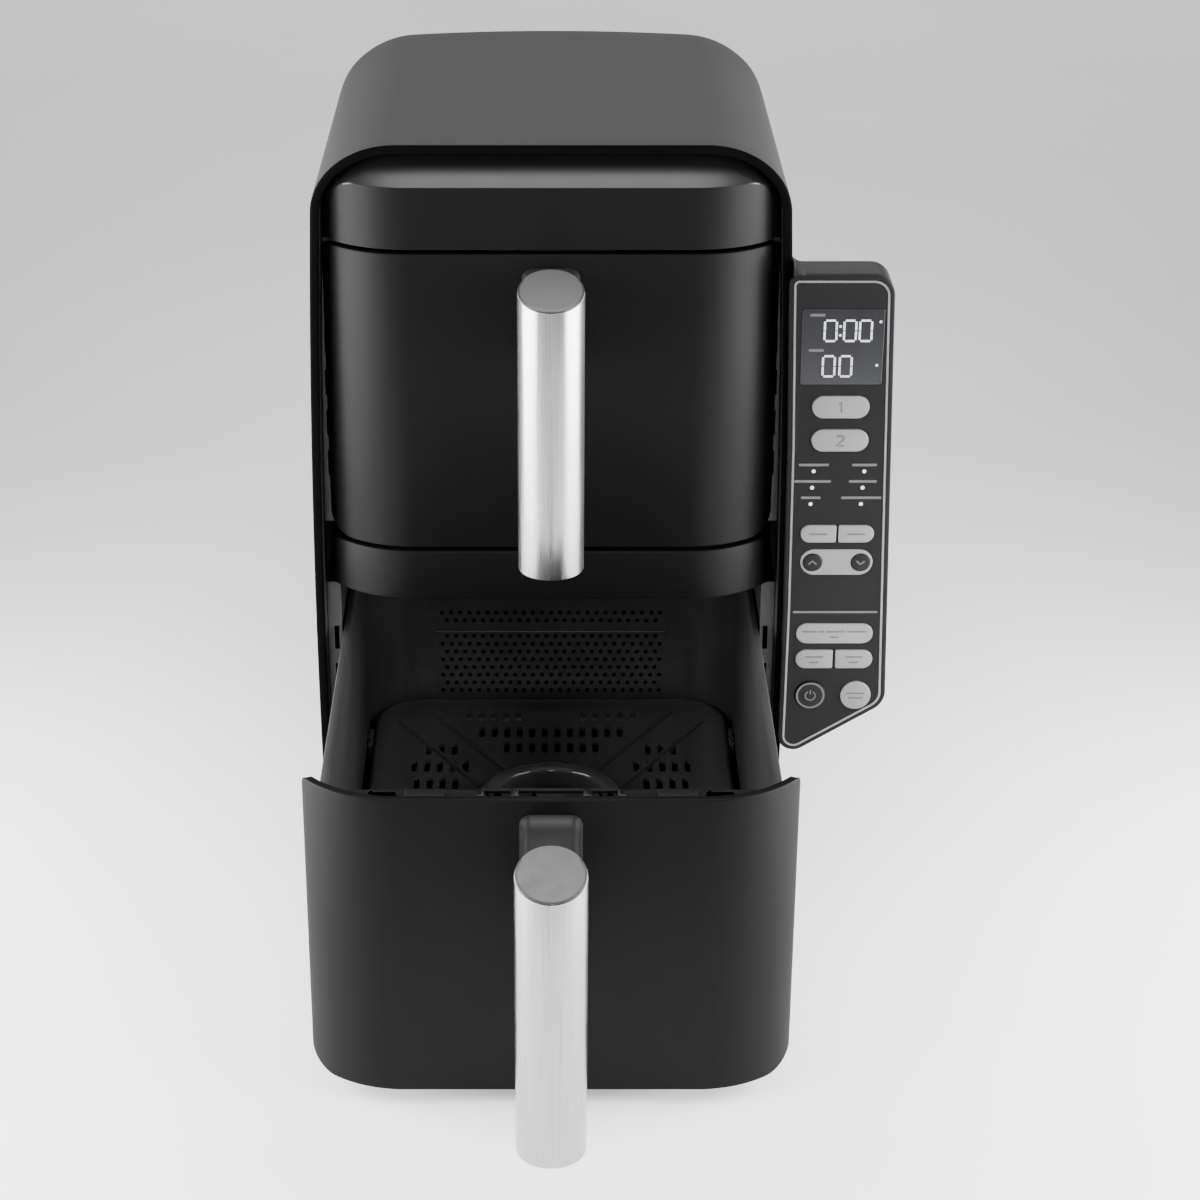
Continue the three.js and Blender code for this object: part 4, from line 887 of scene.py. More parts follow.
# ---- Fronts -----------------------------------------------------------------------------------
def bow_y(x, inset=0.0):
    """The bowed front in plan: flat in the middle, round at its ends."""
    f = settings().fronts
    radius = f.corner_radius - inset
    beyond = max(0.0, abs(x) - (FRONT_HALF - f.corner_reach))
    return f.corner_radius - BOW - math.sqrt(max(0.0, radius * radius - beyond * beyond))


def plan_columns(foot, thickness, rear):
    """Columns across a front from left to right, as (outer x, outer y, inner x, inner y)."""
    f = settings().fronts
    flat = FRONT_HALF - f.corner_reach
    inner_half = FRONT_HALF - thickness
    xs = [flat * i / 6 for i in range(6)]
    xs += [flat + (FRONT_HALF - foot - flat) * i / 14 for i in range(14)]
    xs += [FRONT_HALF - foot + foot * math.sin(QUARTER * i / 14) for i in range(15)]
    columns = []
    for x in xs:
        share = x / FRONT_HALF
        inner_x = min(x * (1 - share ** 3 * thickness / FRONT_HALF), inner_half)
        columns.append((x, bow_y(x), inner_x, min(bow_y(inner_x, thickness), rear)))
    end_y = bow_y(FRONT_HALF)
    for share in (0.5, 1.0):
        columns.append((FRONT_HALF, end_y + (rear - end_y) * share, inner_half, rear))
    left = [(-a, b, -c, d) for a, b, c, d in reversed(columns[1:])]
    return left + columns


def corner_rise(x, half, radius):
    """How far a rounded corner has risen at a place across the front."""
    beyond = max(0.0, abs(x) - (half - radius))
    return radius - math.sqrt(max(0.0, radius * radius - beyond * beyond))


def bar_section(column, z0, z1, edge, lip=0.4 * MM, steps=4):
    """Rounded section of a front at one column, as a closed ring of points."""
    ox, oy, ix, iy = column
    across = Vector((ix - ox, iy - oy))
    reach = across.length
    across.normalize()
    edge = min(edge, reach * 0.4, (z1 - z0) * 0.3)
    ring = [(reach, z0 + lip), (reach - lip, z0)]
    ring += arc(edge, z0 + edge, edge, edge, 3 * QUARTER, 2 * QUARTER, steps)
    ring += arc(edge, z1 - edge, edge, edge, 2 * QUARTER, QUARTER, steps)
    ring += [(reach - lip, z1), (reach, z1 - lip)]
    return [(ox + across.x * depth, oy + across.y * depth, height) for depth, height in ring]


def front_panel(level):
    """Bowed drawer front with rounded lower corners."""
    f = settings().fronts
    rows = []
    for column in plan_columns(f.foot_radius, f.thickness, f.return_y):
        x = column[0]
        z0 = FRONT_LOW + corner_rise(x, FRONT_HALF, f.foot_radius)
        z1 = FRONT_TOP - corner_rise(x, FRONT_HALF, 1.5 * MM)
        rows.append(bar_section(column, z0, z1, f.edge_round))
    panel = solid(f"{level}_front_skin", [lofted(rows)], LEVELS[level], "front")
    mounted(panel, f"{level}_drawer", "front_black", f"{level}_front_panel")


def front_backing(level):
    """Ledge behind the top edge of a drawer front, with its slots, pads, posts and rail."""
    move = LEVELS[level]
    low, high = local_box(f"{level}_front_backing", move)
    gap = settings().fronts.thickness + 0.3 * MM
    rows = []
    count = 48
    for i in range(count + 1):
        x = low.x + (high.x - low.x) * i / count
        rows.append(bar_section((x, bow_y(x, gap), x, high.y + 0.001 * MM), low.z, high.z, 0.8 * MM))
    ledge = solid("ledge", [lofted(rows)], move, "ledge")
    above, on = high.z + 1 * MM, high.z - 0.3 * MM
    slots = [(side * x, -2.5 * MM, above) for x in mm(9.5, 24) for side in (-1, 1)]
    cut(ledge, pills("cutter", slots, mm(7, 4, -7), 0.8 * MM, UPWARD, move))
    wide = [(side * 73 * MM, 0.5 * MM, above) for side in (-1, 1)]
    cut(ledge, pills("cutter", wide, mm(12, 4, -7), 0.8 * MM, UPWARD, move))
    pads = [(side * 54.5 * MM, -1.2 * MM, on) for side in (-1, 1)]
    posts = [(side * x, -2.2 * MM, on) for x in mm(15.6, 30.5) for side in (-1, 1)]
    rail = [(0, 2.6 * MM, on)]
    parts = [pills("pads", pads, mm(17, 6.5, 2.4), 1 * MM, UPWARD, move, "ledge"),
             pills("posts", posts, mm(3.4, 6, 3), 0.9 * MM, UPWARD, move, "bracket"),
             pills("rail", rail, mm(62, 2.2, 1.8), 0.9 * MM, UPWARD, move, "ledge")]
    for part in parts:
        bevelled(part, 0.4 * MM, 2)
    piece = merged(f"{level}_front_ledge", [ledge, *parts])
    mounted(piece, f"{level}_drawer", "base_black", f"{level}_front_backing")


def middle_fascia():
    """Bowed band between the drawers."""
    f = settings().fronts
    bottom = FRONT_TOP + 2 * MM
    height = PITCH - (FRONT_TOP - FRONT_LOW) - 4 * MM
    rows = [bar_section(column, bottom, bottom + height, f.edge_round)
            for column in plan_columns(f.foot_radius, 9 * MM, 18 * MM)]
    band = solid("middle_band", [lofted(rows)], MIDDLE, "front")
    mounted(band, "body", "front_black", "middle_fascia")


def top_fascia():
    """Bowed face under a brow that slopes back beneath the shell's rim and runs down both ends."""
    s, f = settings().shell, settings().fronts
    low, high = local_box("top_fascia")
    clear = s.wall + 0.35 * MM
    bottom, edge_z = low.z, high.z - f.brow_drop
    side = FRONT_HALF - 6.2 * MM
    r = f.brow_corner
    across = 48

    def over(right):
        """Up the right side, across the top and down the left side, in (X, Z)."""
        end_x, end_z = right[-1]
        top = [(end_x * (1 - 2 * i / across), end_z) for i in range(1, across)]
        return right + top + [(-x, z) for x, z in reversed(right)]

    def rail(inset, y_of, drop):
        """The brow's line at one depth, inside the shell."""
        shoulder = high.z + clear - s.corner_drop
        heights = [bottom + (shoulder - bottom) * i / 6 for i in range(6)]
        rise = [(side_x(z) - clear - inset, z) for z in heights]
        corner = arc(side_x(shoulder) - s.corner_run, shoulder, s.corner_run - clear - inset,
                     s.corner_drop - clear - drop, 0, QUARTER, 12)
        return [(x, y_of(x), z) for x, z in over(rise + corner)]

    # the face's right-hand edge from the bottom up, then the end of its round corner
    climb = [(side, bottom + (edge_z - r - bottom) * i / 6) for i in range(6)]
    climb += arc(side - r * 1.3, edge_z - r, r * 1.3, r, 0, QUARTER, 12)
    shares = [2 * i / across - 1 for i in range(across + 1)]
    rows = [[(x * share, bow_y(x * share), z) for share in shares] for x, z in climb]
    face = lofted_sheet(rows)
    edge_line = over(climb)
    front_line = [(x, bow_y(x), z) for x, z in edge_line]
    rounding = [(x * 1.004, bow_y(x) + 0.5 * MM, z + (0.45 * MM if z > edge_z - r else 0))
                for x, z in edge_line]
    under_rim = rail(0.2 * MM, lambda x: max(6 * MM, bow_y(min(abs(x), FRONT_HALF)) + 3.5 * MM), 2 * MM)
    brow_rows = [front_line, rounding, under_rim, rail(0, lambda x: 22 * MM, 0),
                 rail(0, lambda x: 40 * MM, 0)]
    brow = lofted_sheet(brow_rows)
    count = len(front_line)
    brow[1].append(tuple(range((len(brow_rows) - 1) * count, len(brow_rows) * count)))
    lower = rows[0][::-1]
    underside = [*[row[0] for row in brow_rows][::-1], *lower[1:-1], *[row[-1] for row in brow_rows]]
    floor_part = (underside, [tuple(range(len(underside)))])
    fascia = solid("top_fascia_skin", [face, brow, floor_part], MIDDLE, "front", sharp=30)
    # The faces behind the bowed front, the brow, take the lighter brow colour: painted reflection on the same
    # plastic as the face.
    fascia.data.materials.append(finishes()["brow"])
    for polygon in fascia.data.polygons:
        if polygon.center.y - MIDDLE.y - bow_y(polygon.center.x - MIDDLE.x) > 0.12 * MM:
            polygon.material_index = 1
    mounted(fascia, "body", "front_black", "top_fascia")


# ---- Handles ----------------------------------------------------------------------------------
def handle(level):
    """Brushed sleeve with a slanted upper end, its arm and core, and the disc on top."""
    h = settings().handle
    move = LEVELS[level]
    low, high = local_box(f"{level}_handle_sleeve", move)
    radius = (high.x - low.x) / 2
    centre_y = low.y + radius
    slope = math.tan(h.slant)
    middle_top = high.z - radius * slope
    inner = radius - h.wall
    edge = 0.5 * MM

    def ring(r, z, slanted=False):
        """A ring at height z, or at z above the slanted end."""
        circle = arc(0, 0, r, r, 0, 2 * math.pi, 96)[:-1]
        return [(x, centre_y + y, middle_top + y * slope + z if slanted else z) for x, y in circle]

    def top(r, z):
        return ring(r, z, True)

    straight = middle_top - radius * slope - low.z
    loops = [ring(inner, low.z + edge), ring(inner + edge, low.z), ring(radius - edge, low.z),
             ring(radius - 0.1 * MM, low.z + 0.1 * MM), ring(radius, low.z + edge)]
    loops += [ring(radius, low.z + straight * share) for share in (0.25, 0.5, 0.75)]
    loops += [top(radius, -edge * 2), top(radius - 0.1 * MM, -0.1 * MM), top(radius - edge, 0),
              top(inner + edge, 0), top(inner, -edge * 2), top(inner, -6 * MM)]
    sleeve = solid(f"{level}_handle_tube", [lofted([*loops, loops[0]], caps=(False, False))], move, "steel",
                   sharp=40)
    panel_y = -BOW - 0.3 * MM
    arm_half = 12.5 * MM
    arm_top = FRONT_TOP - 8 * MM
    arm_bottom = arm_top - 45 * MM
    play = 0.3 * MM
    slot = rounded(-arm_half - play, arm_half + play, arm_bottom - play, arm_top + play, 3.6 * MM)
    punched(sleeve, slot, centre_y + 3 * MM, centre_y + 30 * MM, move, sharp=40)
    mounted(sleeve, f"{level}_drawer", "handle_steel", f"{level}_handle_sleeve")

    core_r = inner - 0.15 * MM
    core_loops = [ring(core_r * 0.2, low.z + 1.6 * MM), ring(core_r - 1.2 * MM, low.z + 1.6 * MM),
                  ring(core_r, low.z + 2.4 * MM), top(core_r, -5 * MM)]
    core = solid("core", [lofted(core_loops)], move, "arm")
    wide = rounded(-arm_half, arm_half, arm_bottom, arm_top, h.arm_round)
    waist, flare = shrunk(wide, 1.1 * MM), shrunk(wide, -1.2 * MM)
    sleeve_rear = centre_y + radius
    arm_loops = [(wide, centre_y + 5 * MM), (wide, sleeve_rear + 1 * MM), (waist, sleeve_rear + 9 * MM),
                 (waist, panel_y - 9 * MM), (wide, panel_y - 2.2 * MM), (flare, panel_y - 0.6 * MM),
                 (flare, panel_y)]
    arm = solid("arm", [layered(arm_loops)], move, "arm", sharp=50)
    piece = merged(f"{level}_handle_arm", [core, arm])
    mounted(piece, f"{level}_drawer", "arm_grey", f"{level}_handle_core")

    neck_r, cap_r = inner - 0.5 * MM, radius - h.cap_margin
    lift, crown, bevel = h.cap_gap, 0.35 * MM, 0.35 * MM
    thick = 0.7 * MM
    cap_loops = [top(neck_r, -4.5 * MM), top(neck_r, lift), top(cap_r - 0.15 * MM, lift),
                 top(cap_r, lift + 0.15 * MM), top(cap_r, lift + 0.4 * MM), top(cap_r - bevel, lift + thick)]
    for share in (0.93, 0.8, 0.6, 0.4, 0.2, 0.06):
        cap_loops.append(top((cap_r - bevel) * share, lift + thick + crown * (1 - share * share)))
    cap = solid(f"{level}_handle_disc", [lofted(cap_loops)], move, "cap", sharp=40)
    mounted(cap, f"{level}_drawer", "cap_steel", f"{level}_handle_cap")


# ---- Baskets ----------------------------------------------------------------------------------
def basket_ring(half, y0, y1, radius, z, steps=14):
    return [(x, y, z) for x, y in rounded(-half, half, y0, y1, radius, steps=steps)]


def basket(level):
    """Tub with a rolled flange, leaning walls, a round-edged floor and vents in its rear wall."""
    b = settings().basket
    move = LEVELS[level]
    low, high = local_box(f"{level}_basket", move)
    rim = high.z
    wall = b.wall
    half = high.x - b.flange - wall
    front, rear = 10 * MM, high.y - b.flange - wall
    inside_depth, depth = rim - low.z - wall, rim - low.z

    def wall_ring(out, drop, extra=0.0):
        """A ring of the wall, a distance outside the inner face, at a drop below the rim."""
        grow = out - b.taper * min(1.0, drop / inside_depth) - extra
        corner = max(3 * MM, b.corner + out - extra)
        return basket_ring(half + grow, front - grow, rear + grow, corner, rim - drop)

    rows = []
    outer_r = b.bottom_round + wall
    for i in range(7):
        angle = QUARTER * i / 6
        rows.append(wall_ring(wall, depth - outer_r * (1 - math.cos(angle)), outer_r * (1 - math.sin(angle))))
    rows += [wall_ring(wall, 8 * MM), wall_ring(wall, 3.4 * MM)]
    for pull, drop in ((2.0, 2.0), (0.35, 1.7), (0.0, 1.2), (0.0, 0.5), (0.35, 0.1), (0.9, 0.0)):
        rows.append(basket_ring(high.x - pull * MM, low.y + pull * MM, high.y - pull * MM, b.flange_corner,
                                rim - drop * MM))
    for i in range(5):
        angle = QUARTER * i / 4
        rows.append(wall_ring(1.2 * MM * (1 - math.sin(angle)), 1.2 * MM * (1 - math.cos(angle))))
    rows.append(wall_ring(0.0, inside_depth * 0.5))
    r = b.bottom_round
    for i in range(7):
        angle = QUARTER * (1 - i / 6)
        rows.append(wall_ring(0.0, inside_depth - r * (1 - math.cos(angle)), r * (1 - math.sin(angle))))
    tub = solid(f"{level}_basket_tub", [lofted(rows)], move, "basket", sharp=34)

    holes = []
    columns, lines, plain_z = 25, 11, 75 * MM
    for line in range(lines):
        for column in range(columns):
            x = (column - (columns - 1) / 2 + line % 2 * 0.5) * b.vent_pitch
            z = 38 * MM + line * b.vent_pitch * 0.95
            if abs(x) < 61 * MM and abs(z - plain_z) > 2.6 * MM:
                holes.append((x, rear - 8 * MM, z))
    cut(tub, pills("cutter", holes, (b.vent, b.vent, 16 * MM), b.vent / 2, move=move), sharp=34)
    crease = pills("crease", [(0, rear - 1.6 * MM - b.taper * 0.5, 74 * MM)], mm(128, 2.2, 1.2), 1 * MM,
                   move=move, finish="basket")
    piece = merged(f"{level}_basket_pan", [tub, bevelled(crease, 0.5 * MM, 2)])
    mounted(piece, f"{level}_drawer", "basket_coated", f"{level}_basket")


# Rows of the plate's slots in millimetres: distance behind and ahead of its centre, first slot, number
# of slots, and whether the row is repeated on the other side
SLOT_ROWS = ((132, -45, 5, False), (132, 17.8, 5, False), (114, -37.4, 12, False), (96.5, -23.8, 8, False),
             (94, -65.5, 3, True), (75, -72.5, 5, True), (56, -70.5, 4, True))


def plate(level):
    """Crisper plate: skirted sheet with rows of slots, diagonal ribs, a raised ring and four legs."""
    p = settings().plate
    move = LEVELS[level]
    low, high = local_box(f"{level}_crisper_plate", move)
    top = high.z - 14.5 * MM
    half, radius = high.x, 26.8 * MM
    middle_y = (low.y + high.y) / 2
    ring_y = middle_y + p.ring_back
    rise, wall, e = p.skirt, p.skirt_wall, p.edge_round
    below, sunk, proud = top - p.sheet, top - 0.9 * MM, top - 0.2 * MM

    def plan(inset, z):
        return basket_ring(half - inset, low.y + inset, high.y - inset, max(2 * MM, radius - inset), z)

    rows = [plan(wall + 6 * MM, below), plan(wall + 1.5 * MM, below), plan(wall, below - 1.5 * MM),
            plan(wall, top - rise + 0.4 * MM), plan(wall - 0.5 * MM, top - rise), plan(0.5 * MM, top - rise),
            plan(0, top - rise + 0.5 * MM)]
    for i in range(6):
        angle = QUARTER * i / 5
        rows.append(plan(e * (1 - math.cos(angle)), top - e * (1 - math.sin(angle))))
    rows += [plan(8 * MM, top), plan(10.5 * MM, sunk), plan(20 * MM, sunk)]
    sheet = solid("sheet", [lofted(rows)], move, "plate")

    bead, lean = 3 * MM, 0.4 * MM
    crown = top + 17 * MM - bead
    outer, inner, hub = p.ring_outer, p.ring_inner, p.ring_hole
    profile = [(hub, below), (outer + 5 * MM, below), (outer + 5 * MM, sunk), (outer + 1.5 * MM, proud),
               (outer, top + 2 * MM), (outer - lean, crown)]
    profile += arc(outer - lean - bead, crown, bead, bead, 0, QUARTER, 6)[1:]
    profile += arc(inner + lean + bead, crown, bead, bead, QUARTER, 2 * QUARTER, 6)
    profile += [(inner, top + 2 * MM), (inner - 1.5 * MM, proud), (inner - 4 * MM, sunk),
                (hub + 1.5 * MM, sunk), (hub, top - 1.6 * MM)]
    ring_rows = spun(profile, 80, Vector((0, ring_y, 0)))
    ring = solid("ring", [lofted([*ring_rows, ring_rows[0]], caps=(False, False))], move, "gloss")
    hole = spun([(hub, top - 20 * MM), (hub, top + 5 * MM)], 48, Vector((0, ring_y, 0)))
    cut(sheet, solid("cutter", [lofted(hole)], move))

    slots = []
    for back, first, count, mirrored in SLOT_ROWS:
        for i in range(count):
            x = first * MM + i * p.slot_pitch
            for across in (x, -x) if mirrored else (x,):
                slots += [(across, middle_y + way * back * MM, top - 6 * MM) for way in (1, -1)]
    size = (p.slot_width, p.slot_length, 9 * MM)
    cut(sheet, pills("cutter", slots, size, p.slot_width * 0.4, UPWARD, move))

    paths, edges = [], []
    reach = Vector((half - 22 * MM, high.y - middle_y - 22 * MM))
    for sx, sy in ((-1, -1), (-1, 1), (1, -1), (1, 1)):
        corner = Vector((sx * reach.x, middle_y + sy * reach.y - ring_y))
        away = corner.normalized()
        side = Vector((-away.y, away.x))
        for offset in (-10 * MM, 10 * MM):
            start = len(paths)
            near = away * (outer + 5 * MM) + side * offset
            for i in range(9):
                at = near.lerp(corner + side * offset, i / 8)
                paths.append((at.x, ring_y + at.y, top - 2.7 * MM))
            edges += [(start + i, start + i + 1) for i in range(8)]
    ribs = grown("ribs", tube_tree, paths, edges, move=move, finish="plate", Radius=p.rib, Sides=16)
    leg_x, leg_y = half - 26 * MM, 26 * MM
    legs = [(x, y, low.z) for x in (-leg_x, leg_x) for y in (low.y + leg_y, high.y - leg_y)]
    size = (9 * MM, 9 * MM, below - low.z + 0.5 * MM)
    legs_piece = bevelled(pills("legs", legs, size, 2 * MM, UPWARD, move, "plate"), 0.6 * MM, 2)
    piece = merged(f"{level}_crisper_tray", [sheet, ring, ribs, legs_piece])
    mounted(piece, f"{level}_plate", "plate_coated", f"{level}_crisper_plate")


def bumpers(level):
    """Soft blocks, ribbed on top, that centre the plate between the basket's walls."""
    move = LEVELS[level]
    for corner in ("front_left", "front_right", "rear_left", "rear_right"):
        node = f"{level}_bumper_{corner}"
        low, high = local_box(node, move)
        edge = 0.4 * MM
        outline = rounded(low.y, high.y, low.z, high.z, 1.4 * MM, steps=5)
        small = shrunk(outline, 0.5 * MM)
        rows = [[(x, y, z) for y, z in shape] for shape, x in
                ((small, low.x), (outline, low.x + edge), (outline, high.x - edge), (small, high.x))]
        block = solid(f"{node}_pad", [lofted(rows)], move, "silicone")
        ribs = [((low.x + high.x) / 2, low.y + (high.y - low.y) * (i + 0.5) / 5, high.z - 1.1 * MM)
                for i in range(5)]
        cut(block, pills("cutter", ribs, mm(6, 1.1, 3), 0.3 * MM, UPWARD, move))
        mounted(block, f"{level}_plate", "bumper_silicone", node)


# ---- Control pod ------------------------------------------------------------------------------
def filleted(corners, steps=10):
    """Rounds the corners [u, v, radius] of an anticlockwise outline; a negative radius is a hollow one."""
    points = []
    for i, (u, v, radius) in enumerate(corners):
        here = Vector((u, v))
        back = (Vector(corners[i - 1][:2]) - here).normalized()
        ahead = (Vector(corners[(i + 1) % len(corners)][:2]) - here).normalized()
        half = math.acos(max(-1, min(1, back.dot(ahead)))) / 2
        if radius == 0 or half > 1.5:
            points.append((u, v))
            continue
        run = abs(radius) / math.tan(half)
        centre = here + (back + ahead).normalized() * (abs(radius) / math.sin(half))
        first, last = here + back * run - centre, here + ahead * run - centre
        start = math.atan2(first.y, first.x)
        sweep = (math.atan2(last.y, last.x) - start + 3 * math.pi) % (2 * math.pi) - math.pi
        points += arc(centre.x, centre.y, abs(radius), abs(radius), start, start + sweep, steps)
    return points


def pod_corners(left_shift, blend=0.0):
    """The pod from the front, anticlockwise from its lower left corner."""
    p = settings().pod
    low, high = POD_LOW - MIDDLE, POD_HIGH - MIDDLE
    top_reach = high.x - 6.5 * MM
    left = [side_x(low.z + (high.z - low.z) * share) + left_shift for share in (0, 1 / 3, 2 / 3, 1)]
    corners = [(left[0], low.z, 8 * MM), (high.x, low.z + p.slope_rise, p.low_corner),
               (top_reach, high.z, p.wide_corner)]
    if blend:
        corners += [(left[3], high.z, -blend), (left[3] - 0.4 * MM, high.z + blend + 2 * MM, 0),
                    (left[3] - 3 * MM, high.z + blend + 2 * MM, 0), (left[3] - 3 * MM, high.z - 8 * MM, 0)]
    else:
        corners.append((left[3], high.z, 5 * MM))
    corners += [(left[2], low.z + (high.z - low.z) * 2 / 3, 0), (left[1], low.z + (high.z - low.z) / 3, 0)]
    return corners


def panel_middle(z):
    """Middle line of the panel at a height."""
    p = settings().pod
    low, high = POD_LOW - MIDDLE, POD_HIGH - MIDDLE
    share = (high.z - z) / (high.z - low.z)
    return HALF + 20.4 * MM + share * p.panel_tilt


def pod_housing():
    """Open-fronted case of the pod, with a hollow fillet where its top meets the shell."""
    p = settings().pod
    low, high = POD_LOW - MIDDLE, POD_HIGH - MIDDLE
    outline = filleted(pod_corners(0.3 * MM))
    e = p.edge_round
    lip, recess = shrunk(outline, 2.2 * MM), low.y + 3 * MM
    loops = [(shrunk(outline, 8 * MM), recess), (lip, recess), (lip, low.y),
             (shrunk(outline, 0.3 * MM), low.y), (outline, low.y + 0.3 * MM)]
    for i in range(6):
        angle = QUARTER * i / 5
        loops.append((shrunk(outline, e * (1 - math.cos(angle))), high.y - e * (1 - math.sin(angle))))
    housing = solid("housing", [layered(loops)], MIDDLE, "pod", sharp=34)
    web = p.blend
    x0, z0 = side_x(high.z) + 0.15 * MM, high.z - 0.6 * MM
    hollow = [(x0, z0), (x0 + web + 1 * MM, z0)]
    hollow += arc(x0 + web, high.z + web, web, web, 3 * QUARTER, 2 * QUARTER, 12)
    front, rear = FACE_LOW.y - MIDDLE.y + 0.4 * MM, high.y - 2 * MM
    blend = solid("blend", [layered([(hollow, front), (hollow, rear)])], MIDDLE, "pod")
    mounted(merged("pod_case", [housing, blend]), "body", "shell_grey", "pod_housing")


def key_outline(node, grow):
    """A key's own outline: pills and discs are round at both ends, and paired keys at one."""
    low, high = local_box(node)
    lip = 1 * MM
    z0, z1 = low.z + lip, high.z - lip
    half = (z1 - z0) / 2
    left = right = half - 0.05 * MM
    if node in ("time_key", "copy_key"):
        right = 1 * MM
    if node in ("heat_key", "hold_key"):
        left = 1 * MM
    return rounded(low.x - grow, high.x + grow, z0 - grow, z1 + grow, left + grow, right + grow, 10)


def panel_face():
    """Face plate with wells for the keys, the display and the arrow bezel, and a groove for the trim."""
    low, high = FACE_LOW - MIDDLE, FACE_HIGH - MIDDLE
    outline = filleted(pod_corners(-2 * MM))
    face = solid("face", [layered(plate_loops(outline, low.y, high.y, 0.7 * MM))], MIDDLE, "panel", sharp=34)
    before = low.y - 1 * MM
    for node in KEYS:
        if node not in ("up_key", "down_key"):
            punched(face, key_outline(node, 0.3 * MM), before, high.y + 1 * MM, sharp=34)
    for node in ("display_window", "arrow_bezel"):
        a, b = local_box(node)
        play = 0.25 * MM
        radius = 1.3 * MM if node == "display_window" else (b.z - a.z) / 2 + 0.2 * MM
        shape = rounded(a.x - play, b.x + play, a.z - play, b.z + play, radius)
        punched(face, shape, before, low.y + 1.8 * MM, sharp=34)
    cut(face, solid("cutter", [trim_loops(0.12 * MM, before, low.y + 0.9 * MM)], MIDDLE), sharp=34)
    mounted(merged("panel_plate", [face, *panel_prints(low.y)]), "body", "panel_black", "panel_face")


def trim_loops(grow, front, rear):
    """The silver line's ring between two depths, widened by a play on both sides."""
    p = settings().pod
    base = filleted(pod_corners(-2 * MM))
    outside, inside = shrunk(base, p.trim_inset - grow), shrunk(base, p.trim_inset + p.trim_width + grow)
    loops = [(outside, rear), (outside, front), (inside, front), (inside, rear), (outside, rear)]
    return lofted([[(x, y, z) for x, z in outline] for outline, y in loops], caps=(False, False))


def panel_trim():
    """Silver line round the panel."""
    low, high = local_box("panel_trim")
    trim = solid("panel_line", [trim_loops(0, low.y, high.y)], MIDDLE, "silver", sharp=50)
    mounted(trim, "body", "trim_silver", "panel_trim")


def panel_prints(front):
    """Lamps, the bars that stand for their legends, and the divider line, proud of the face."""
    p = settings().pod
    top = POD_HIGH.z - MIDDLE.z
    first, step, drift = top - 99 * MM, 8.6 * MM, 0.4 * MM
    columns = {HALF + 10 * MM: (14.5, 18.0, 9.5), HALF + 34.5 * MM: (12.0, 13.5, 19.5)}
    lamps = [(x - drift * i, front + 0.5 * MM, first - step * i) for x in columns for i in range(p.lamps)]
    prints = [pills("lamps", lamps, mm(1.9, 1.9, -0.62), 0.95 * MM, finish="glow")]
    for x, sizes in columns.items():
        for i, size in enumerate(sizes):
            place = (x - drift * i, front + 0.3 * MM, first - step * i + 3.3 * MM)
            prints.append(pills("label", [place], mm(size, 1.3, -0.36), 0.5 * MM, finish="print"))
    divide_z = top - 174.4 * MM
    place = (panel_middle(divide_z), front + 0.3 * MM, divide_z)
    prints.append(pills("divider", [place], mm(42, 1.1, -0.36), 0.5 * MM, finish="print"))
    return prints


def seven_segments(x, z, width, height):
    """The six outer segments of a lit zero, as separate strokes."""
    gap = 0.55 * MM
    half, side = height / 2, width / 2
    halves = ((z - half + gap, z - gap / 2), (z + gap / 2, z + half - gap))
    strokes = [((x + way * side, z0), (x + way * side, z1)) for z0, z1 in halves for way in (-1, 1)]
    strokes += [((x - side + gap, z + way * half), (x + side - gap, z + way * half)) for way in (-1, 1)]
    return strokes


def display():
    """Smoked window with lit digits, a colon, two label bars and two small marks."""
    low, high = local_box("display_window")
    outline = rounded(low.x, high.x, low.z, high.z, 1 * MM)
    y = low.y
    window = solid("window", [layered(plate_loops(outline, y, high.y, 0.25 * MM))], MIDDLE, "glass")
    upper_z, lower_z = high.z - 10.8 * MM, high.z - 28.6 * MM
    digits = [(x, upper_z) for x in mm(13.6, 22.8, 30.2)] + [(x, lower_z) for x in mm(13.4, 21.4)]
    paths, edges = [], []
    for x, z in digits:
        for ends in seven_segments(low.x + x, z, 5.6 * MM, 10.2 * MM):
            edges.append((len(paths), len(paths) + 1))
            paths += [(u, y, v) for u, v in ends]
    segments = grown("segments", stroke_tree, paths, edges, finish="glow", Width=0.95 * MM, Height=0.95 * MM)
    flatten(segments, MIDDLE.y + y, 0.12)
    dots = [(low.x + 18.2 * MM, y, upper_z + dz) for dz in mm(-2.2, 2.2)]
    dots += [(high.x - 2.8 * MM, y, lower_z + 0.5 * MM), (high.x - 1.9 * MM, y, upper_z + 4.5 * MM)]
    colon = pills("dots", dots, mm(1.3, 1.3, -0.1), 0.6 * MM, finish="glow")
    bars = [(low.x + 7.2 * MM, y, high.z - drop) for drop in mm(3, 20.6)]
    labels = pills("labels", bars, mm(7.2, 1.3, -0.1), 0.5 * MM, finish="print")
    mounted(merged("display_screen", [window, segments, colon, labels]), "body", "display_glass",
            "display_window")


def flatten(piece, y, share):
    """Squeezes a piece towards a plane of constant Y, so that a stroke lies flat on a face."""
    for vertex in piece.data.vertices:
        vertex.co.y = y + (vertex.co.y - y) * share
    piece.data.update()


def arrow_bezel():
    """Pill-shaped plate round the two arrow keys."""
    low, high = local_box("arrow_bezel")
    outline = rounded(low.x, high.x, low.z, high.z, (high.z - low.z) / 2 - 0.1 * MM, steps=12)
    bezel = solid("arrow_plate", [layered(plate_loops(outline, low.y, high.y, 0.4 * MM))], MIDDLE, "key")
    for node in ("up_key", "down_key"):
        punched(bezel, key_outline(node, 0.3 * MM), low.y - 1 * MM, high.y + 1 * MM)
    mounted(bezel, "body", "key_grey", "arrow_bezel")


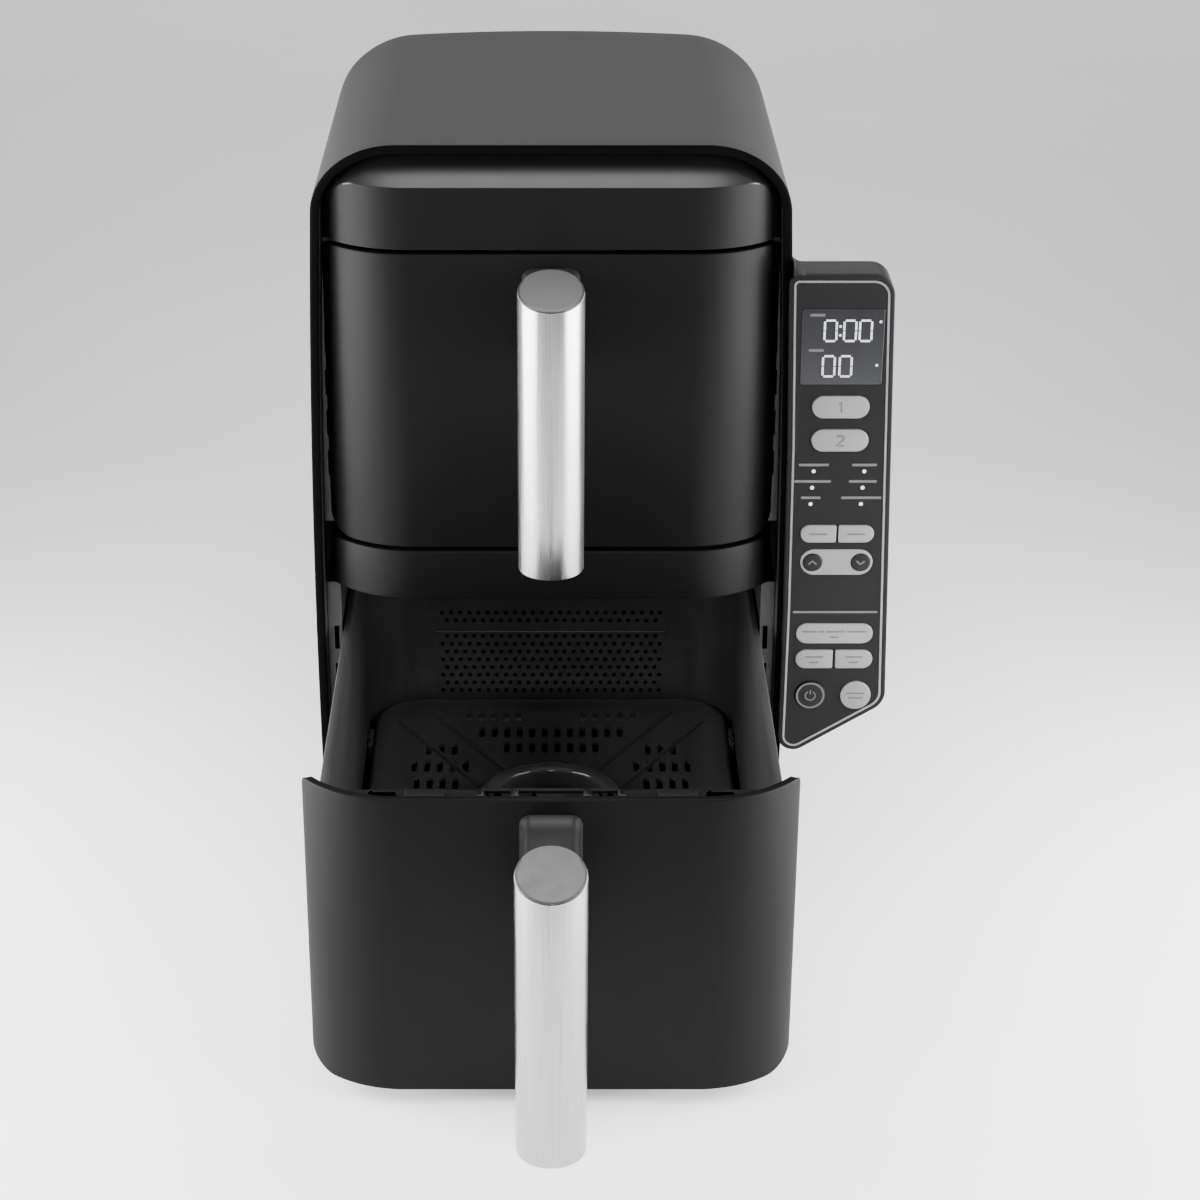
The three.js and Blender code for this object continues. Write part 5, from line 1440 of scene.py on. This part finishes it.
def key_strokes(node):
    """A key's mark in millimetres from its centre, and the strokes' width: figures, bars, arrows, power."""
    bars = {
        "dual_key": [(-16.0, -8.6, 1.2), (-7.8, -5.2, 1.2), (-4.2, 5.0, 1.2), (6.0, 15.8, 1.2),
                     (-2.2, 2.2, -1.8)],
        "copy_key": [(-4.5, 4.5, 1.4), (-2.4, 2.4, -1.6)],
        "hold_key": [(-4.5, 4.5, 1.4), (-2.4, 2.4, -1.6)],
        "start_key": [(-4.6, 4.6, 1.2), (-3.6, 3.6, -1.3)],
    }
    if node == "zone_1_key":
        return [[(-1.0, 1.5), (0.3, 2.6), (0.3, -2.6)]], 1.0
    if node == "zone_2_key":
        return [[*arc(0, 1.1, 1.7, 1.5, 2.7, -0.65, 10), (-1.8, -2.6), (1.9, -2.6)]], 1.1
    if node in ("up_key", "down_key"):
        way = 1 if node == "up_key" else -1
        return [[(-2.0, -0.9 * way), (0, 0.9 * way), (2.0, -0.9 * way)]], 0.75
    if node == "power_key":
        return [arc(0, -0.1, 2.5, 2.5, 2.1, 2.1 + 5.2, 28), [(0, 0.6), (0, 3.0)]], 0.6
    thick = 0.95 if node in ("copy_key", "hold_key") else 1.0
    return [[(u0, v), (u1, v)] for u0, u1, v in bars.get(node, [(-4.4, 4.4, 0)])], thick


def key_legend(node, centre, y):
    """The mark on one key, as flat strokes."""
    strokes, thick = key_strokes(node)
    paths, edges = [], []
    for points in strokes:
        edges += [(len(paths) + i, len(paths) + i + 1) for i in range(len(points) - 1)]
        paths += [(centre.x + u * MM, y, centre.z + v * MM) for u, v in points]
    ink = "print" if node in DARK_KEYS else "legend"
    marks = grown("marks", stroke_tree, paths, edges, finish=ink, Width=thick * MM, Height=thick * MM)
    flatten(marks, MIDDLE.y + y, 0.09)
    return marks


def keycap(node):
    """One key with its mark, and a ring round the power key's."""
    low, high = local_box(node)
    dark = node in DARK_KEYS
    loops = plate_loops(key_outline(node, 0.0), low.y, high.y, 0.45 * MM)
    cap = solid("cap", [layered(loops)], MIDDLE, "key_black" if dark else "key", sharp=40)
    centre = (low + high) / 2
    parts = [cap, key_legend(node, centre, low.y)]
    if node == "power_key":
        radius = (high.x - low.x) / 2 - 1.0 * MM
        y = low.y + 0.03 * MM
        halo = hoop("halo", stroke_tree, (centre.x, y, centre.z), radius, 64, "print", Width=0.9 * MM,
                    Height=0.9 * MM)
        flatten(halo, MIDDLE.y + y, 0.1)
        parts.append(halo)
    mounted(merged(f"{node}_top", parts), f"{node}_cap", "key_black" if dark else "key_grey", node)


# ---- Rear cover, base, feet, gland ------------------------------------------------------------
def rear_cover():
    """Flanged tray over the fans, with rows of outlets and four screw heads."""
    low, high = local_box("rear_cover")
    lip, wall, edge = 4 * MM, 2.5 * MM, 4 * MM
    outline = rounded(low.x + lip, high.x - lip, low.z + lip, high.z - lip, 9.7 * MM)
    flange = rounded(low.x, high.x, low.z, high.z, 12 * MM)
    step = DEPTH + 0.3 * MM
    loops = [(shrunk(outline, wall + edge), high.y - wall), (shrunk(outline, wall), high.y - wall - edge),
             (shrunk(outline, wall), low.y), (outline, low.y), (outline, step), (flange, step),
             (flange, step + 1.9 * MM), (shrunk(flange, 0.6 * MM), step + wall), (outline, step + wall)]
    for i in range(7):
        angle = QUARTER * i / 6
        loops.append((shrunk(outline, edge * (1 - math.cos(angle))), high.y - edge * (1 - math.sin(angle))))
    cover = solid("cover", [layered(loops)], MIDDLE, "base", sharp=34)
    slots = []
    for level in LEVELS:
        fan_low, fan_high = local_box(f"{level}_fan")
        centre = (fan_low.z + fan_high.z) / 2
        slots += [(0, high.y - 8 * MM, centre + i * 8 * MM) for i in range(-4, 5)]
    cut(cover, pills("cutter", slots, mm(110, 4, 12), 1.9 * MM), sharp=34)
    inset = 18 * MM
    heads = [(side * 74 * MM, high.y - 0.5 * MM, z) for side in (-1, 1)
             for z in (low.z + inset, high.z - inset)]
    screws = pills("screws", heads, mm(7, 7, 0.45), 3.4 * MM, finish="motor")
    mounted(merged("rear_vent_cover", [cover, screws]), "body", "base_black", "rear_cover")


def gland():
    """Ribbed collar that a cord would leave by."""
    low, high = local_box("cord_gland")
    centre = (low + high) / 2
    profile = [(3.4, 0.0), (5.7, 0.0), (5.7, 4.6), (8.4, 4.8), (9, 5.4), (9, 7.6), (8.4, 8.3), (6.6, 8.6),
               (6.0, 9.4), (5.7, 17.6), (5.0, 18.5), (3.9, 18.5), (3.4, 18.0)]
    rows = spun([(r * MM, low.y + y * MM) for r, y in profile], 40, centre, "Y")
    collar = solid("collar", [lofted([*rows, rows[0]], caps=(False, False))], MIDDLE, "rubber", sharp=40)
    beads = [hoop("bead", tube_tree, (centre.x, low.y + y, centre.z), 5.9 * MM, 40, "rubber",
                  Radius=0.55 * MM, Sides=8) for y in mm(11, 13.4, 15.8)]
    mounted(merged("cord_collar", [collar, *beads]), "body", "soft_black", "cord_gland")


def feet():
    """Four round feet, hollow underneath."""
    for node in ("foot_front_left", "foot_front_right", "foot_rear_left", "foot_rear_right"):
        low, high = local_box(node)
        radius, height, edge = (high.x - low.x) / 2, high.z - low.z, 0.4 * MM
        profile = [(radius * 0.35, 0.5 * MM), (radius * 0.6, 0.5 * MM), (radius * 0.66, 0.0)]
        profile += arc(radius * 0.86, 1.6 * MM, radius * 0.14, 1.6 * MM, -QUARTER, 0, 5)
        profile += [(radius, height - edge), (radius - edge, height)]
        rows = spun([(r, low.z + z) for r, z in profile], 48, (low + high) / 2)
        piece = solid(f"{node}_pad", [lofted(rows)], MIDDLE, "rubber", sharp=40)
        mounted(piece, "body", "soft_black", node)


# ---- Fans, heaters, guards --------------------------------------------------------------------
def fan(level):
    """Disc and hub with raked blades."""
    low, high = local_box(f"{level}_fan")
    centre_z = (low.z + high.z) / 2
    axis = Vector((0, 0, centre_z))
    front, rear = low.y, low.y + 6 * MM
    profile = [(1.5, front), (8.2, front), (9, front + 0.8 * MM), (9.4, rear - 2 * MM), (38, rear - 1.2 * MM),
               (39, rear - 0.6 * MM), (38.4, rear), (2.5, rear), (2.5, high.y - 0.4 * MM), (2.1, high.y)]
    hub = spun([(r * MM, y) for r, y in profile], 64, axis, "Y")
    wheel = solid("wheel", [lofted(hub)], MIDDLE, "fan", sharp=40)
    blade = []
    near, far, half = front + 0.2 * MM, rear - 1 * MM, 0.4 * MM
    for r, twist in ((8, -4.0), (16, -3.2), (28, -1.6), (40, 0.4), (46.6, 2.0)):
        z0, z1 = centre_z + twist * MM, centre_z + (twist + 1.6) * MM
        blade.append([(r * MM, y, z) for y, z in ((near, z0 + half), (near, z0 - half), (far, z1 - half),
                                                  (far, z1 + half))])
    vertices, faces = lofted(blade)
    blades = grown("blades", turned_tree, vertices, (), faces, finish="fan", Count=7, Centre=axis)
    welded(blades.data)
    smoothed(blades.data)
    mounted(merged(f"{level}_fan_rotor", [wheel, blades]), f"{level}_fan_wheel", "fan_metal", f"{level}_fan")


def heater(level):
    """Open ring of heating tube whose two ends bend back through the bay's wall."""
    low, high = local_box(f"{level}_heater")
    fan_low, fan_high = local_box(f"{level}_fan")
    centre_z = (fan_low.z + fan_high.z) / 2
    tube, gap, bend = 2.5 * MM, 0.45, 4 * MM
    radius = -low.x - tube
    y = low.y + tube
    circle = arc(0, centre_z, radius, radius, gap, 2 * math.pi - gap, 90)
    leads = [[(x, depth, z) for depth in (y + bend * 0.3, y + bend, high.y)]
             for x, z in (circle[0], circle[-1])]
    path = [*reversed(leads[0]), *((x, y, z) for x, z in circle), *leads[1]]
    edges = [(i, i + 1) for i in range(len(path) - 1)]
    piece = grown(f"{level}_heating_ring", tube_tree, path, edges, finish="heater", Radius=tube, Sides=16)
    mounted(piece, "body", "heater_metal", f"{level}_heater")


def dress_cad():
    """The CAD nodes that stay as they are get their finishes."""
    looks = {"base_tray": "base", "circuit_board": "board"}
    for level in LEVELS:
        looks[f"{level}_bay"] = "bay"
        looks[f"{level}_fan_guard"] = "bay"
        looks[f"{level}_motor"] = "motor"
    for node, finish in looks.items():
        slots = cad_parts[node].material_slots
        if not slots:
            raise RuntimeError(f"{node} has no material slot")
        for slot in slots:
            slot.material = finishes()[finish]


# ---- Floor, camera and lights -----------------------------------------------------------------
def floor():
    s = Shader("floor_pale")
    soft = s.noise(3, detail=3)
    tint = s.mix(soft.ramp(0.3, 0.7), (0.80, 0.80, 0.80), (0.83, 0.83, 0.83))
    material = s.finish(Base_Color=tint, Roughness=0.7, Emission_Color=tint, Emission_Strength=0.3,
                        Specular_IOR_Level=0.2)
    size = 6.0
    mesh = bpy.data.meshes.new("floor")
    corners = [(-size, -size, 0), (size, -size, 0), (size, size, 0), (-size, size, 0)]
    mesh.from_pydata(corners, [], [(0, 1, 2, 3)])
    mesh.materials.append(material)
    ground = bpy.data.objects.new("floor", mesh)
    bpy.context.scene.collection.objects.link(ground)


def camera():
    data = bpy.data.cameras.new("camera")
    data.sensor_width = 36
    data.lens = 81.6
    data.shift_x = 0.0408
    data.shift_y = -0.007
    eye = bpy.data.objects.new("camera", data)
    eye.location = MIDDLE + Vector((0, -1221.8 * MM, 728.7 * MM))
    eye.rotation_euler = (math.radians(90 - 25.02), 0, 0)
    bpy.context.scene.collection.objects.link(eye)
    bpy.context.scene.camera = eye


def soft_light(name, place, target, size, power, tall=None):
    data = bpy.data.lights.new(name, "AREA")
    data.energy = power
    data.shape = "RECTANGLE"
    data.size = size
    data.size_y = tall or size
    lamp = bpy.data.objects.new(name, data)
    lamp.location = MIDDLE + Vector(place)
    way = Vector(target) - Vector(place)
    lamp.rotation_euler = way.to_track_quat("-Z", "Y").to_euler()
    bpy.context.scene.collection.objects.link(lamp)


def lights():
    soft_light("overhead", (0.0, 0.08, 1.5), (0, 0.08, 0.2), 0.9, 19)
    soft_light("left_box", (-0.54, -0.22, 0.28), (0, -0.22, 0.2), 0.62, 21, 0.5)
    soft_light("right_box", (0.56, -0.22, 0.28), (0, -0.22, 0.2), 0.62, 21, 0.5)
    soft_light("rear_floor", (0.0, 2.7, 1.0), (0, 2.7, 0), 4.0, 32, 2.6)
    soft_light("front_low", (0.0, -2.4, 1.15), (0, -0.05, 0.1), 0.5, 20)
    world = bpy.data.worlds.new("studio")
    world.use_nodes = True
    background = world.node_tree.nodes["Background"]
    background.inputs[0].default_value = (1, 1, 1, 1)
    background.inputs[1].default_value = 0.15
    bpy.context.scene.world = world


# ---- Operators, panel and registration --------------------------------------------------------
class FRYER_OT_stage(bpy.types.Operator):
    """Add the floor, the lights and the camera"""
    bl_idname = "fryer.stage"
    bl_label = "Stage"

    def execute(self, context):
        camera()
        floor()
        lights()
        return {"FINISHED"}


class FRYER_OT_shell(bpy.types.Operator):
    """Build the outer shell"""
    bl_idname = "fryer.shell"
    bl_label = "Outer shell"

    def execute(self, context):
        shell_piece()
        return {"FINISHED"}


class FRYER_OT_fronts(bpy.types.Operator):
    """Build the fascias, the drawer fronts and their ledges"""
    bl_idname = "fryer.fronts"
    bl_label = "Fronts"

    def execute(self, context):
        top_fascia()
        middle_fascia()
        for level in LEVELS:
            front_panel(level)
            front_backing(level)
        return {"FINISHED"}


class FRYER_OT_handles(bpy.types.Operator):
    """Build both handles with their sleeves, arms and caps"""
    bl_idname = "fryer.handles"
    bl_label = "Handles"

    def execute(self, context):
        for level in LEVELS:
            handle(level)
        return {"FINISHED"}


class FRYER_OT_baskets(bpy.types.Operator):
    """Build both baskets with their vents"""
    bl_idname = "fryer.baskets"
    bl_label = "Baskets"

    def execute(self, context):
        for level in LEVELS:
            basket(level)
        return {"FINISHED"}


class FRYER_OT_plates(bpy.types.Operator):
    """Build both crisper plates and their bumpers"""
    bl_idname = "fryer.plates"
    bl_label = "Crisper plates"

    def execute(self, context):
        for level in LEVELS:
            plate(level)
            bumpers(level)
        return {"FINISHED"}


class FRYER_OT_pod(bpy.types.Operator):
    """Build the control pod, its panel, display and trim"""
    bl_idname = "fryer.pod"
    bl_label = "Control pod"

    def execute(self, context):
        pod_housing()
        panel_face()
        panel_trim()
        display()
        arrow_bezel()
        return {"FINISHED"}


class FRYER_OT_keys(bpy.types.Operator):
    """Build the eleven keys with their marks"""
    bl_idname = "fryer.keys"
    bl_label = "Keys"

    def execute(self, context):
        for node in KEYS:
            keycap(node)
        return {"FINISHED"}


class FRYER_OT_rear(bpy.types.Operator):
    """Build the rear cover, the cord collar and the feet"""
    bl_idname = "fryer.rear"
    bl_label = "Rear and feet"

    def execute(self, context):
        rear_cover()
        gland()
        feet()
        return {"FINISHED"}


class FRYER_OT_fans(bpy.types.Operator):
    """Build the fans and heating rings, and finish what else is inside"""
    bl_idname = "fryer.fans"
    bl_label = "Fans and heaters"

    def execute(self, context):
        for level in LEVELS:
            fan(level)
            heater(level)
        dress_cad()
        return {"FINISHED"}


OPERATORS = (FRYER_OT_stage, FRYER_OT_shell, FRYER_OT_fronts, FRYER_OT_handles, FRYER_OT_baskets,
             FRYER_OT_plates, FRYER_OT_pod, FRYER_OT_keys, FRYER_OT_rear, FRYER_OT_fans)


class FRYER_PT_panel(bpy.types.Panel):
    """Lists the builders of the air fryer's pieces"""
    bl_idname = "FRYER_PT_panel"
    bl_label = "Air fryer"
    bl_space_type = "VIEW_3D"
    bl_region_type = "UI"
    bl_category = "Air fryer"

    def draw(self, context):
        for operator in OPERATORS:
            self.layout.operator(operator.bl_idname)


CLASSES = (FRYER_PG_shell, FRYER_PG_fronts, FRYER_PG_handle, FRYER_PG_basket, FRYER_PG_plate, FRYER_PG_pod,
           FRYER_PG_finish, FRYER_PG_settings, *OPERATORS, FRYER_PT_panel)


def register():
    for item in CLASSES:
        bpy.utils.register_class(item)
    bpy.types.Scene.air_fryer = PointerProperty(type=FRYER_PG_settings)


def unregister():
    del bpy.types.Scene.air_fryer
    for item in reversed(CLASSES):
        bpy.utils.unregister_class(item)


def main():
    register()
    for operator in OPERATORS:
        group, name = operator.bl_idname.split(".")
        getattr(getattr(bpy.ops, group), name)()


if __name__ == "__main__":
    main()
